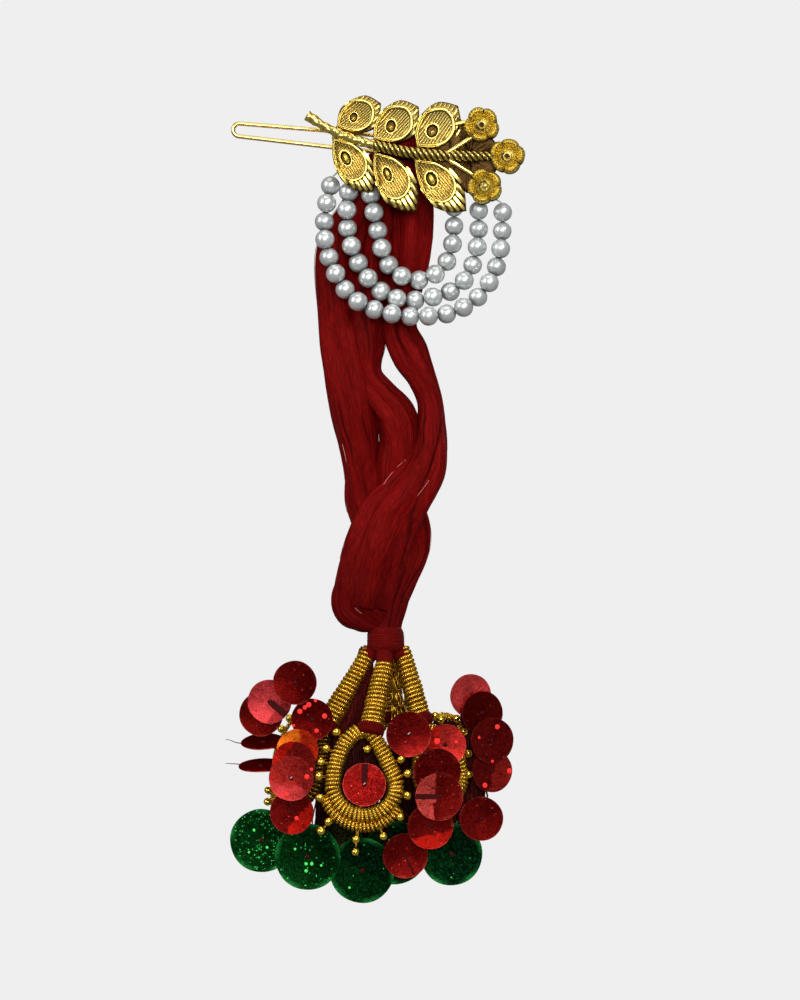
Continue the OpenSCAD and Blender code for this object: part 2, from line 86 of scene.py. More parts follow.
def resample(points, count):
    """The same line with points at even distances."""
    at = lengths(points)
    to = np.linspace(0, at[-1], count)
    return np.stack([np.interp(to, at, points[:, k]) for k in range(points.shape[1])], 1)


def tangents(path):
    return unit(np.gradient(path, axis=0))


def carried_frames(path, start=(0, 1, 0)):
    """Two directions across a line, carried along it without twist."""
    along = tangents(path)
    side = np.zeros_like(path)
    s = np.array(start, float)
    for i, t in enumerate(along):
        s = unit(s - t * (s @ t))
        side[i] = s
    return side, np.cross(along, side)


# Meshes

def grid_faces(rows, cols, wrap=True):
    """Quads of a grid of points; its columns close on themselves where wrap is set."""
    k = np.arange(cols if wrap else cols - 1)
    n = (k + 1) % cols
    r = (np.arange(rows - 1) * cols)[:, None]
    return np.stack([r + k, r + n, r + cols + n, r + cols + k], -1).reshape(-1, 4)


def closed_grid(rows, cols, flip=False):
    """Faces of rings of points, closed by fans from two more points: the first ring's and the last one's."""
    n = rows * cols
    faces = [grid_faces(rows, cols)]
    for centre, ring in [(n, np.arange(cols)[::-1]), (n + 1, n - cols + np.arange(cols))]:
        faces.append(np.stack([np.full(cols, centre), ring, np.roll(ring, -1)], 1))
    return [f[:, ::-1] for f in faces] if flip else faces


def ended(values, *ends):
    """Values of a closed grid's rings, then those of its two end points."""
    return np.concatenate([np.ravel(values), ends])


def new_object(name, data):
    thing = bpy.data.objects.new(name, data)
    bpy.context.scene.collection.objects.link(thing)
    return thing


class Batch:
    """Points, faces and point attributes of one piece."""

    def __init__(self):
        self.points, self.faces, self.marks, self.count = [], [], [], 0

    def add(self, points, faces, **marks):
        points = np.asarray(points, float).reshape(-1, 3)
        self.points.append(points)
        self.faces += [f + self.count for f in (faces if isinstance(faces, list) else [faces])]
        self.marks.append((len(points), marks))
        self.count += len(points)

    def build(self, name, slot, material, replaces=(), sharp=None):
        loops = np.concatenate([f.ravel() for f in self.faces]).astype(np.int32)
        sizes = np.concatenate([np.full(len(f), f.shape[1]) for f in self.faces])
        mesh = bpy.data.meshes.new(name)
        mesh.vertices.add(self.count)
        mesh.vertices.foreach_set("co", (np.concatenate(self.points) * MM).astype(np.float32).ravel())
        mesh.loops.add(len(loops))
        mesh.loops.foreach_set("vertex_index", loops)
        mesh.polygons.add(len(sizes))
        mesh.polygons.foreach_set("loop_start", (np.cumsum(sizes) - sizes).astype(np.int32))
        mesh.polygons.foreach_set("use_smooth", np.ones(len(sizes), bool))
        mesh.update(calc_edges=True)
        for key in sorted({k for _, marks in self.marks for k in marks}):
            wide = any(np.ndim(m.get(key, 0)) == 2 or np.shape(m.get(key, 0)) == (3,) for _, m in self.marks)
            kind, field, shape = ("FLOAT_VECTOR", "vector", (3,)) if wide else ("FLOAT", "value", ())
            values = np.concatenate([np.broadcast_to(m.get(key, 0), (n, *shape)) for n, m in self.marks])
            mesh.attributes.new(key, kind, "POINT").data.foreach_set(field, values.astype(np.float32).ravel())
        if sharp is not None:
            mesh.set_sharp_from_angle(angle=math.radians(sharp))
        mesh.materials.append(material)
        piece = new_object(name, mesh)
        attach(piece, "root")
        if replaces:
            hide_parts(*replaces)


def rings(path, frames, flat):
    """Rings of points round a path, from places [..., 2] along the two directions across it."""
    side, front = frames
    return path[:, None] + flat[..., :1] * side[:, None] + flat[..., 1:] * front[:, None]


def sweep(path, radius, sides):
    """Points and faces of a tube; radius is one number, one per point, or an array of points by sides."""
    path = np.asarray(path, float)
    r = np.asarray(radius, float)
    r = r[:, None] if r.ndim == 1 else r
    ring = rings(path, carried_frames(path), polar(r, circle(sides)))
    return np.concatenate([ring.reshape(-1, 3), path[:1], path[-1:]]), closed_grid(len(path), sides)


def turned(profile, sides, place, axis):
    """A profile [radius, height], as a closed loop, turned round an axis through a point."""
    profile = np.asarray(profile, float)[:, :, None, None]
    axis = unit(axis)
    side = unit(np.cross(axis, [0, 1, 0] if abs(axis[1]) < 0.9 else [1, 0, 0]))
    flat = polar(1, circle(sides))
    out = flat[:, :1] * side + flat[:, 1:] * np.cross(axis, side)
    points = (profile[:, 0] * out + profile[:, 1] * axis).reshape(-1, 3) + place
    return points, grid_faces(len(profile) + 1, sides)[:, ::-1] % len(points)


def drilled_ball(r, cap, count, flat, bore, inside):
    """Angles down a ball from its bore's edge, and its profile; its bore ends at a share inside of r."""
    lat = np.linspace(cap, math.pi - cap, count)
    ball = np.stack([r * np.sin(lat), flat * r * np.cos(lat)], 1)
    return lat, np.concatenate([ball, [[bore, -inside * r], [bore, inside * r]]])


# Materials

class Look:
    """A material with short calls for its nodes; coordinates are in millimetres."""

    def __init__(self, name, **settings):
        self.material = bpy.data.materials.new(name)
        self.material.use_nodes = True
        self.tree = self.material.node_tree
        self.shader = self.tree.nodes["Principled BSDF"]
        self.set(**settings)

    def set(self, **settings):
        for key, value in settings.items():
            self.plug(self.shader.inputs[key.replace("_", " ")], value)

    def plug(self, socket, value):
        if isinstance(value, bpy.types.NodeSocket):
            self.tree.links.new(value, socket)
        elif socket.type == "RGBA":
            socket.default_value = (*value, 1)
        else:
            socket.default_value = value

    def node(self, kind, inputs=(), **settings):
        node = self.tree.nodes.new("ShaderNode" + kind)
        for key, value in settings.items():
            setattr(node, key, value)
        for key, value in dict(inputs).items():
            self.plug(node.inputs[key], value)
        return node

    def place(self, stretch=(1, 1, 1)):
        scale = [s / MM for s in stretch]
        return self.node("VectorMath", {0: self.node("TexCoord").outputs["Object"], 1: scale},
                         operation="MULTIPLY").outputs[0]

    def mark(self, name, vector=False):
        return self.node("Attribute", attribute_name=name).outputs["Vector" if vector else "Fac"]

    def noise(self, where, scale, detail=2.0, roughness=0.5):
        inputs = {"Vector": where, "Scale": scale, "Detail": detail, "Roughness": roughness}
        return self.node("TexNoise", inputs).outputs["Fac"]

    def math(self, operation, a, b=0.0, clamp=False):
        return self.node("Math", {0: a, 1: b}, operation=operation, use_clamp=clamp).outputs[0]

    def times(self, a, b, clamp=False):
        return self.math("MULTIPLY", a, b, clamp)

    def spread(self, value, low, high, to_low=0.0, to_high=1.0):
        node = self.node("MapRange", {"Value": value, "From Min": low, "From Max": high,
                                      "To Min": to_low, "To Max": to_high})
        return node.outputs["Result"]

    def mix(self, factor, a, b):
        node = self.node("Mix", data_type="RGBA")
        self.plug(node.inputs["Factor"], factor)
        self.plug([s for s in node.inputs if s.name == "A" and s.type == "RGBA"][0], a)
        self.plug([s for s in node.inputs if s.name == "B" and s.type == "RGBA"][0], b)
        return [s for s in node.outputs if s.type == "RGBA"][0]

    def bump(self, height, depth, strength=1.0, normal=None):
        inputs = {"Height": height, "Distance": depth * MM, "Strength": strength}
        if normal is not None:
            inputs["Normal"] = normal
        return self.node("Bump", inputs).outputs[0]


HATCH_PITCH = 0.5
# The field's dark gold is painted shade; the hatch lines' and the ridges' light golds are painted highlights
FIELD_SHADE_GOLD, HATCH_HIGHLIGHT_GOLD, RIDGE_HIGHLIGHT_GOLD = (0.27, 0.145, 0.016), (0.97, 0.80, 0.25), (0.96, 0.77, 0.20)
SHADE_AND_GRIME_BROWN = (0.036, 0.015, 0.005)


def gold_look(name, bright, deep, rough):
    """Polished cast gilding with a hatched field. A mark turns it brown where it is high: painted shade in
    pits, gaps, grooves, side walls and the web behind, with a little grime varied by grain. The field is
    painted darker as shade, and its hatch lines and the ridges lighter as painted highlights.
    """
    look = Look(name, Metallic=1.0, Specular_Tint=(0.95, 0.8, 0.4))
    at = look.place()
    cloud = look.noise(at, 0.9, 3)
    grain = look.noise(at, 9.0, 3)
    dirt, field, ridge = (look.mark(key) for key in ("dirt", "field", "ridge"))
    waves = look.math("SINE", look.times(look.mark("hatch"), TAU / HATCH_PITCH))
    lines = look.times(look.spread(waves, -0.3, 0.8), field)
    warm = look.mix(look.spread(cloud, 0.3, 0.7), bright, deep)
    # Painted shade on the field, painted highlights on its hatch lines and on the ridges
    for share, gold in [(field, FIELD_SHADE_GOLD), (lines, HATCH_HIGHLIGHT_GOLD), (ridge, RIDGE_HIGHLIGHT_GOLD)]:
        warm = look.mix(look.times(share, 0.85, True), warm, gold)
    # Brown where the mark is high: painted shade in hollows and behind, with a little grime
    darkening = look.times(dirt, look.spread(grain, 0.2, 0.8, 0.93, 1.12), True)
    look.set(Base_Color=look.mix(darkening, warm, SHADE_AND_GRIME_BROWN))
    shine = look.spread(cloud, 0.3, 0.7, rough, rough + 0.1)
    shine = look.math("ADD", shine, look.times(look.math("ADD", field, ridge), 0.12))
    look.set(Roughness=look.math("ADD", shine, look.times(dirt, 0.25)))
    relief = look.bump(lines, 0.06, 0.9)
    look.set(Normal=look.bump(grain, 0.008, 0.3, relief))
    return look.material


gilt = gold_look("gilt", (0.95, 0.76, 0.23), (0.86, 0.64, 0.14), 0.15)
# The flowers' gilt is a lighter, yellower copy of the leaves' gilt: painted light
flower_gilt = gold_look("flower_gilt", (1.0, 0.88, 0.36), (0.97, 0.80, 0.26), 0.18)
rod_gilt = gold_look("rod_gilt", (0.93, 0.70, 0.26), (0.80, 0.54, 0.16), 0.18)


MILK, MILK_PALE, MILK_DULL_AND_SHADE = (0.62, 0.65, 0.645), (0.74, 0.77, 0.75), (0.24, 0.26, 0.27)


def pearl_look():
    look = Look("pearl", Metallic=0.6, Coat_Weight=0.5, Coat_Roughness=0.18)
    at = look.place()
    cloud = look.noise(at, 0.45, 2)
    tone = look.mark("tone")
    milk = look.mix(look.spread(cloud, 0.35, 0.65), MILK, MILK_PALE)
    # Darker where the mark is high: painted shade near the ends where pearls touch, and a random tone per
    # pearl
    look.set(Base_Color=look.mix(tone, milk, MILK_DULL_AND_SHADE))
    look.set(Roughness=look.spread(look.noise(at, 3.0, 2), 0.3, 0.7, 0.31, 0.36))
    look.set(Normal=look.bump(look.noise(at, 0.6, 1), 0.01, 0.1))
    return look.material


pearl_material = pearl_look()


def thread_look(name, colour, dark, sheen=0.3):
    look = Look(name, Roughness=0.6, Sheen_Weight=sheen, Specular_IOR_Level=0.1 + sheen)
    at = look.place((1, 1, 3))
    look.set(Base_Color=look.mix(look.spread(look.noise(at, 3.0, 2), 0.3, 0.7), colour, dark))
    look.set(Normal=look.bump(look.noise(at, 8.0, 1), 0.05, 0.5))
    return look.material


ivory_thread = thread_look("ivory_thread", (0.72, 0.70, 0.66), (0.5, 0.48, 0.45))


# Leaf spray. Its flat places are [x, z]; a height stands forward of the casting's back.
SPRAY_BACK = 5.0


def stand(flat, height):
    """Places on the spray: flat [x, z] and height above the back, as points in space."""
    flat = np.asarray(flat, float)
    height = np.broadcast_to(height, flat.shape[:-1])
    return np.stack([flat[..., 0], -SPRAY_BACK - height, flat[..., 1]], -1)


# Outer and inner outlines of a feather from tip to stem end, and from stem end to tip
UPPER_OUT = [[[9.3, 6.9], [8.9, 1.6], [4.3, -0.7], [0, 0]], [[0, 0], [0.5, 4.7], [5.2, 8.1], [9.3, 6.9]]]
UPPER_IN = [[[7.5, 4.6], [7.3, 2.2], [5.4, 0.5], [2.8, 0.0], [0.5, 0.3]],
            [[0.5, 0.3], [1.0, 2.8], [2.3, 5.1], [3.6, 6.2], [6.3, 6.1], [7.5, 4.6]]]
LOWER_OUT = [[[8.8, -12.2], [8.9, -6.6], [5.6, -1.9], [0, 0]],
             [[0, 0], [0, -4.9], [1.8, -9.6], [5.4, -11.9], [8.8, -12.2]]]
LOWER_IN = [[[6.9, -7.7], [7.1, -6.2], [6.4, -4.3], [5.2, -3.0], [3.2, -1.6], [0.7, -0.7]],
            [[0.7, -0.7], [0.5, -2.7], [0.8, -4.8], [1.4, -7.2], [2.5, -8.5], [4.3, -9.4], [5.9, -8.9],
             [6.9, -7.7]]]
UPPER_EYE, LOWER_EYE = vec(3.6, 2.7), vec(2.9, -4.7)
# Each feather: stem end, turn, size, is an upper one, eye's half width, half height and turn
FEATHERS = [
    ((-9.0, 3.0), -8, 0.90, True, 0.90, 1.10, -10),
    ((-1.3, 0.4), 0, 1.00, True, 1.00, 1.30, -10),
    ((7.6, -1.3), 9, 1.06, True, 1.10, 1.30, -30),
    ((-9.9, 0.7), 2, 0.92, False, 1.05, 1.65, 22),
    ((-1.3, -2.2), 0, 1.00, False, 0.85, 1.50, 20),
    ((7.1, -3.8), 10, 1.00, False, 1.10, 1.55, 12)]
FIELD_H, RIDGE_H, BAND_H = 1.2, 2.25, 0.9
HATCH_DEPTH, LEAST_BAND, WIDE_BAND = 0.11, 0.9, 0.95
CREST_HALF, WALL_TOP, FEATHER_COLS = 0.46, 0.88, 232
WALL_SHIFT = vec(0.20, -0.26)


def turn_flat(points, degrees):
    a = math.radians(degrees)
    c, s = math.cos(a), math.sin(a)
    points = np.asarray(points, float)
    return np.stack([points[..., 0] * c - points[..., 1] * s, points[..., 0] * s + points[..., 1] * c], -1)


def outline_points(halves, count):
    return np.concatenate([resample(curve(h, 24), count // 2 + 1)[:-1] for h in halves])


def polar_reach(outline, eye, angle):
    """Distance from the eye to an outline in each direction."""
    d = outline - eye
    a = np.arctan2(d[:, 1], d[:, 0])
    order = np.argsort(a)
    a, r = a[order], np.linalg.norm(d, axis=1)[order]
    a = np.concatenate([a[-3:] - TAU, a, a[:3] + TAU])
    r = np.concatenate([r[-3:], r, r[:3]])
    return np.interp(angle, a, r)


def feather(row, name):
    place, turn, size, upper, eye_w, eye_h, eye_turn = row
    eye = UPPER_EYE if upper else LOWER_EYE
    away = outline_points(UPPER_OUT if upper else LOWER_OUT, FEATHER_COLS) - eye
    reach = np.linalg.norm(away, axis=1)
    ray = away / reach[:, None]
    angle = np.arctan2(ray[:, 1], ray[:, 0])
    inner = polar_reach(outline_points(UPPER_IN if upper else LOWER_IN, 600), eye, angle)
    inner = np.minimum(inner, reach - LEAST_BAND)
    band = reach - inner
    crest = np.minimum(CREST_HALF, band / 2)
    across = vec(0.72, -0.69) if upper else vec(0.86, 0.50)
    rows = []

    def put(flat):
        return turn_flat(np.asarray(flat) * size, turn) + place

    def ring(far, height, dirt, field=0, ridge=0, shift=0):
        """One ring of points, at a distance from the eye."""
        flat = eye + ray * far[:, None] + shift
        rows.append(np.stack(np.broadcast_arrays(*flat.T, height, dirt, field, ridge), -1))

    # The eye's pit and the dished field
    for share in np.concatenate([[0.02], np.linspace(0.06, 1, 54)]):
        flat = ray * (inner * share)[:, None]
        local = turn_flat(flat, -eye_turn)
        e = np.hypot(local[:, 0] / eye_w, local[:, 1] / eye_h)
        rim = np.exp(-((e - 1.12) / 0.16) ** 2)
        pit = smooth((1.05 - e) / 0.3)
        hatched = smooth((e - 1.25) / 0.2) * smooth((0.97 - share) / 0.04)
        waves = np.sin((eye + flat) @ across / HATCH_PITCH * TAU)
        dish = FIELD_H + 0.35 * share ** 4
        # Painted shade in the eye's pit, at the field's outer edge and a little on the upper feathers'
        # hatching; the eye's rim painted light as a highlight
        dirt = 0.95 * pit + 0.75 * smooth((share - 0.93) / 0.07) + (0.12 * hatched if upper else 0)
        height = dish + 0.14 * rim - 0.7 * pit + HATCH_DEPTH * hatched * waves
        ring(inner * share, height, dirt, hatched, 0.6 * rim)
    # The ridge round the field, double on its left side, and the band outside it
    for t in np.linspace(0.12, 2, 14):
        round_top = max(1 - abs(t - 1) ** 2.6, 0) ** 0.5
        low = np.where((band > WIDE_BAND) & (t > 1), BAND_H, FIELD_H + 0.3 * (t <= 1))
        split = smooth((0.3 - ray[:, 0]) / 0.4) * np.exp(-((t - 1.0) / 0.2) ** 2)
        # Painted shade at the ridge's inner foot, on its outer slope and in the split of the double ridge;
        # its crest painted light as a highlight
        dirt = 0.7 * smooth(1.2 - 3.2 * t) + 0.7 * smooth(t * 2.2 - 3.4) + 0.55 * split
        ring(inner + crest * t, low + (RIDGE_H - low) * round_top - 0.28 * split, dirt,
             ridge=np.exp(-((t - 1) / 0.6) ** 2) * (1 - split))
    for t in np.linspace(0.25, 1, 5):
        height = np.where(band > WIDE_BAND, BAND_H, FIELD_H) - 0.06 * t
        # The band painted dark as shade, more where it is wide
        dirt = 0.5 + (0.4 if upper else 0.5) * smooth((band - LEAST_BAND) / 0.3)
        ring(inner + 2 * crest + (band - 2 * crest) * t, height, dirt)
    # The side wall down to the back, painted dark as shade
    for h, out in [(WALL_TOP, 0.02), (0.45, 0.03), (0.1, 0.0), (0.0, -0.12)]:
        ring(reach + out, h, 0.86, shift=WALL_SHIFT * (1 - h / WALL_TOP))
    rows = np.array(rows)
    flats = rows[..., :2]
    ends = stand(put([eye, eye]), [FIELD_H - 0.55, 0.0])
    batch = Batch()
    batch.add(np.concatenate([stand(put(flats), rows[..., 2]).reshape(-1, 3), ends]),
              closed_grid(len(rows), FEATHER_COLS, True), hatch=ended(flats @ across, 0, 0),
              dirt=ended(rows[..., 3], 0.85, 0.8), field=ended(rows[..., 4], 0, 0),
              ridge=ended(rows[..., 5], 0, 0))
    eye_bead(batch, put, eye, row)
    barbs(batch, put, eye, angle, inner, reach, upper)
    batch.build(name, "gold_casting", gilt, ["leaf_spray"], sharp=80)


def eye_bead(batch, put, eye, row):
    """A small polished bead in the eye; the lower feathers' is a slanted grain."""
    upper, eye_w, eye_h, eye_turn = row[3:]
    size = (0.40, 0.48) if upper else (0.40 * eye_w, 0.74 * eye_h)
    offset = vec(0.02, -0.28) if upper else vec(0.05, 0)
    rows, cols = 10, 24
    lat = np.linspace(0.02, 0.98, rows)[:, None] * math.pi
    flat = polar(np.sin(lat), circle(cols)) * size
    height = FIELD_H - 0.1 + 0.5 * np.cos(lat)
    if not upper:
        height = height - 0.3 * np.exp(-(flat[..., 0] / 0.12) ** 2) * (np.cos(lat) > 0)
    flat = turn_flat(flat, eye_turn) + eye + offset
    # The bead is painted light as a highlight
    batch.add(stand(put(flat), height), grid_faces(rows, cols)[:, ::-1], ridge=0.8)


# Barbs: the way they run, their pitch, how far they stay from the ridge, half width and height
UPPER_BARBS = (52, 0.80, 0.62, 0.17, 1.45)
LOWER_BARBS = (-60, 1.02, 0.5, 0.34, 1.95)
# Rows of points along a barb: share of the length, share of the width, and how much lower the top is
BARB_ROWS = [(0, 0.7, 0.15), (0.15, 1, 0), (0.85, 1.1, 0), (1, 0.8, 0.3)]


def barbs(batch, put, eye, angle, inner, reach, upper):
    """Cut strokes, all one way, that cross the band between the ridge and the outer edge."""
    order = np.argsort(angle)
    way, pitch, clear, half, top = UPPER_BARBS if upper else LOWER_BARBS
    d = polar(1, math.radians(way))
    n = vec(-d[1], d[0])
    foot = BAND_H - 0.15
    profile = [(-half, foot), (-0.8 * half, top), (0.8 * half, top), (half, foot)]
    faces = [f[:, ::-1] for f in (grid_faces(4, 4, False), np.array([[0, 1, 2, 3], [15, 14, 13, 12]]))]
    for offset in np.arange(-7, 7, pitch):
        spots = n * offset + np.arange(0, 12, 0.05)[:, None] * d
        far = np.linalg.norm(spots, axis=1)
        a = np.arctan2(spots[:, 1], spots[:, 0])
        low, high = (np.interp(a, angle[order], edge[order], period=TAU) for edge in (inner, reach))
        low = low + clear
        run = np.nonzero((far > low) & (far < high - 0.03) & (high - low > 0.35))[0]
        if len(run) < 10:
            continue
        a, b = eye + spots[run[0]], eye + spots[run[-1]]
        points = np.array([[*(a + (b - a) * t + n * off * size), max(h - drop, foot)]
                           for t, size, drop in BARB_ROWS for off, h in profile])
        # The barbs' tops are painted light as highlights and their feet dark as painted shade
        batch.add(stand(put(points[:, :2]), points[:, 2]), faces, ridge=0.3 if upper else 0.8,
                  dirt=np.where(points[:, 2] > 1.25, 0.35 if upper else 0.0, 1.0))


for i, row in enumerate(FEATHERS):
    feather(row, f"feather_{i + 1}")


# Flowers: place, turn, and whether the middle is a plain disc
FLOWERS = [((21.2, 3.4), 10, False), ((26.5, -3.1), 40, False), ((21.8, -9.4), 75, True)]
# Each ring of a flower: radius, height, share of the lobes' shape, rib depth, and darkening: painted shade in
# the cup and under the rolled rim
FLOWER_RINGS = [
    (0.55, 0.75, 0.0, 0.0, 0.75), (0.9, 0.85, 0.0, 0.0, 0.5), (1.4, 1.1, 0.05, 0.0, 0.45),
    (1.75, 1.4, 0.15, 0.03, 0.35), (2.0, 1.8, 0.3, 0.10, 0.2), (2.25, 2.25, 0.5, 0.18, 0.0),
    (2.5, 2.62, 0.7, 0.24, 0.0), (2.75, 2.86, 0.85, 0.28, 0.0), (3.05, 2.94, 0.95, 0.28, 0.0),
    (3.35, 2.8, 1.0, 0.28, 0.0), (3.6, 2.5, 1.0, 0.24, 0.1), (3.74, 2.1, 1.0, 0.16, 0.4),
    (3.75, 1.95, 1.0, 0.06, 0.7), (3.68, 1.5, 0.9, 0.03, 0.9), (3.6, 0.9, 0.8, 0.0, 1.0),
    (3.5, 0.3, 0.7, 0.0, 1.0), (3.3, 0.05, 0.6, 0.0, 1.0)]
DISC_PROFILE = [[0.02, 1.92], [0.4, 1.84], [0.75, 1.66], [0.92, 1.4], [0.8, 0.6], [0.02, 0.6]]
CUP_PROFILE = [[0.42, 0.9], [0.47, 1.55], [0.6, 1.7], [0.78, 1.66], [0.88, 1.4], [0.85, 0.6]]
PIT_PROFILE = [[0.02, 0.98], [0.44, 0.95], [0.46, 0.7], [0.02, 0.7]]
FLOWER_COLS, LOBES, RIBS = 320, 5, 32


def flower(batch, place, turn, plain):
    a = circle(FLOWER_COLS)
    lobe = np.abs(np.sin(LOBES / 2 * a)) ** 0.55
    ribs = np.cos(RIBS * a + np.sin(LOBES * a) + 0.8 * np.sin(3 * a + turn))
    flats, heights, shades_and_grime, ridges = [], [], [], []
    for r, h, share, depth, dirt in FLOWER_RINGS:
        radius = r * (1 - 0.17 * share * (1 - lobe)) * (1.0 + 0.03 * share * np.sin(3 * a + turn))
        lift = -0.6 * share * (1 - lobe) * (h > 1.2) + 0.2 * share * np.sin(LOBES * a + 1.0)
        base = turn_flat(1.2 * WALL_SHIFT, -turn) * max(1 - h / 1.6, 0) * (r > 3)
        flats.append(polar(radius, a) + base)
        heights.append(h + lift + depth * ribs)
        # Painted shade between the lobes and between the ribs; the rolled rim painted light as a highlight,
        # most on the ribs' crests
        shades_and_grime.append(dirt + 0.6 * share * (1 - lobe) ** 2 + 1.1 * depth * smooth(-ribs))
        ridges.append((2.3 < r < 3.7) * (0.7 + 0.3 * ribs))
    points = stand(turn_flat(np.array(flats), turn) + place, np.array(heights)).reshape(-1, 3)
    batch.add(np.concatenate([points, stand([place, place], [0.7, 0.05])]),
              closed_grid(len(flats), FLOWER_COLS, True),
              dirt=np.clip(ended(shades_and_grime, 0.5, 1.0), 0, 1), ridge=ended(ridges, 0, 0))
    # The middle: the plain disc and the cup a little dark, the pit dark, as painted shade
    middle = stand(place, 0.0)
    if plain:
        batch.add(*turned(DISC_PROFILE, 32, middle, (0, -1, 0)), dirt=0.45)
    else:
        batch.add(*turned(CUP_PROFILE, 32, middle, (0, -1, 0)), dirt=0.2)
        batch.add(*turned(PIT_PROFILE, 20, middle, (0, -1, 0)), dirt=1.0)


flowers = Batch()
for place, turn, plain in FLOWERS:
    flower(flowers, place, turn, plain)
flowers.build("flowers", "gold_casting", flower_gilt, ["leaf_spray"], sharp=50)

# Stem, twigs, stalks, and what stands behind: [x, z, height, radius]
STEM = [
    [-15.1, 5.3, 1.4, 1.2], [-13.2, 4.1, 1.6, 1.0], [-11.3, 2.9, 1.7, 0.9], [-8.0, 1.3, 1.8, 1.1],
    [-3.6, -0.2, 1.9, 1.0], [5.0, -2.2, 1.9, 1.15], [13.4, -3.1, 1.8, 1.15], [23.5, -3.1, 1.2, 1.0]]
TWIGS = [[13.4, -2.9, 19.8, 1.2], [13.4, -3.3, 20.0, -7.4]]
WEB_OUTLINE = [
    [15.7, 5.4], [18.0, 3.8], [21.2, 3.4], [26.5, -3.1], [21.8, -9.4], [18.2, -10.8], [16.6, -9.4],
    [14.8, -7.0], [10.9, -4.0], [10.6, -1.4], [14.7, 0.8]]
WEB_LOW, WEB_HIGH = 0.1, 0.9
STEM_ROWS, STEM_SIDES, ROPE_FROM, ROPE_PITCH, NOTCH_PITCH = 330, 30, -2.6, 1.2, 1.5


def stem(batch):
    line = resample(curve(STEM, 12), STEM_ROWS)
    path = stand(line[:, :2], line[:, 2])
    at = lengths(path)[:, None]
    angle = circle(STEM_SIDES)
    # Notched on the left, a four-strand rope on the right
    rope = smooth((line[:, :1] - ROPE_FROM) / 2.0)
    twist = np.cos(4 * angle - TAU * at / ROPE_PITCH)
    notch = np.sin(TAU * at / NOTCH_PITCH + 1.4 * np.sin(angle)) ** 3
    wobble = np.sin(TAU * at / 2.7 + 2 * angle)
    shape = rope * (0.13 * twist) + (1 - rope) * (0.06 * notch + 0.07 * wobble)
    points, faces = sweep(path, line[:, 3:4] * (1 + shape) * 0.98, STEM_SIDES)
    # Painted shade in the rope's grooves and the notches' hollows, over a little overall darkening that is
    # greater on the rope
    groove = rope * smooth((0.25 - twist) / 0.9) + (1 - rope) * 0.35 * smooth((-notch - 0.1) / 0.5)
    batch.add(points, faces, dirt=ended(np.clip(0.16 + 0.12 * rope + 0.8 * groove, 0, 1), 0.6, 0.6))


def web(batch):
    """The casting's low ground between the last leaf, the twigs and the flowers."""
    cols = 160
    loop = resample(np.array(WEB_OUTLINE + WEB_OUTLINE[:1]), cols + 1)[:-1]
    middle = vec(18.5, -3.0)
    draws = np.random.default_rng(3)
    rows = [stand(middle + (loop - middle) * share, h + rough * draws.normal(0, 0.07, cols))
            for share, h, rough in [(1, WEB_LOW, 0), (1, WEB_HIGH - 0.15, 0), (0.985, WEB_HIGH, 0)]
            + [(k, WEB_HIGH + 0.12, 1) for k in np.linspace(0.93, 0.1, 9)]]
    rows.append(stand([middle, middle], [WEB_LOW, WEB_HIGH]))
    # The web is painted almost wholly dark as shade
    batch.add(np.concatenate(rows), closed_grid(len(rows) - 1, cols), dirt=0.97)


def rod(batch, a, b, radius, dirt=0.0):
    batch.add(*sweep(np.linspace(a, b, 6), vec(0.8, 1, 1, 1, 1, 0.8) * radius, 16), dirt=dirt)


def ring_prism(batch, inner, outer, low, high, dirt):
    """A block between an inner and an outer loop [x, y], from a low to a high z, with bevelled edges."""
    b = 0.12
    middle = inner.mean(0)
    rows = []
    for loop, grow, z in [(inner, 0.0, low + b), (inner, 0.0, high - b), (inner, b, high), (outer, -b, high),
                          (outer, 0.0, high - b), (outer, 0.0, low + b), (outer, -b, low), (inner, b, low)]:
        flat = loop + unit(loop - middle) * grow
        rows.append(np.concatenate([flat, np.full((len(loop), 1), z)], 1))
    rows.append(rows[0])
    batch.add(np.array(rows), grid_faces(len(rows), len(inner))[:, ::-1], dirt=dirt)


PIN_TILT, PIN_END, PIN_GAP = 5.7, 15.6, 3.4
LUGS = [(-8.4, -4.8), (23.3, -10.3), (-5.7, -5.2), (20.5, -10.2), (-3.1, -5.2), (15.2, -9.6)]
LUG_Y = -2.8


def pin_place(u, v):
    a = math.radians(PIN_TILT)
    return u * math.cos(a) + v * math.sin(a), v * math.cos(a) - u * math.sin(a)


SOCKET_PROFILE = [[0.62, -0.3], [0.62, 2.2], [0.72, 2.3], [1.25, 2.3], [1.35, 2.18], [1.35, -0.3]]
LUG_HOLE, LUG_R, LUG_HALF, LUG_ARM = 0.45, 0.9, 0.7, 1.4


def fittings(batch):
    """Sockets for the pin's ends, their bridge, and the eyelets that the swags hang from."""
    cols = 40
    around = polar(1, circle(cols))
    ends = [pin_place(PIN_END, s * PIN_GAP / 2) for s in (-1, 1)]
    for x, z in ends:
        # The sockets and the bridge are painted dark as shade, the eyelets a little
        batch.add(*turned(SOCKET_PROFILE, cols, vec(x, -SPRAY_BACK, z), (0, 1, 0)), dirt=0.9)
    low, high = sorted(ends, key=lambda e: e[1])
    loop = 1.2 * around + np.where(around[:, 1:] > 0, high, low)
    middle = loop.mean(0)
    rows = [stand(middle + (loop - middle) * k, h) for k, h in [(1, 0.3), (1, 1.2), (0.9, 1.32)]]
    rows.append(stand([middle, middle], [0.3, 1.32]))
    batch.add(np.concatenate(rows), closed_grid(3, cols), dirt=0.95)
    for x, z in LUGS:
        hole, outer = (around * r + [x, LUG_Y] for r in (LUG_HOLE, LUG_R))
        outer[:, 1] -= np.where(outer[:, 1] < LUG_Y, LUG_ARM, 0)
        ring_prism(batch, hole, outer, z - LUG_HALF, z + LUG_HALF, 0.35)


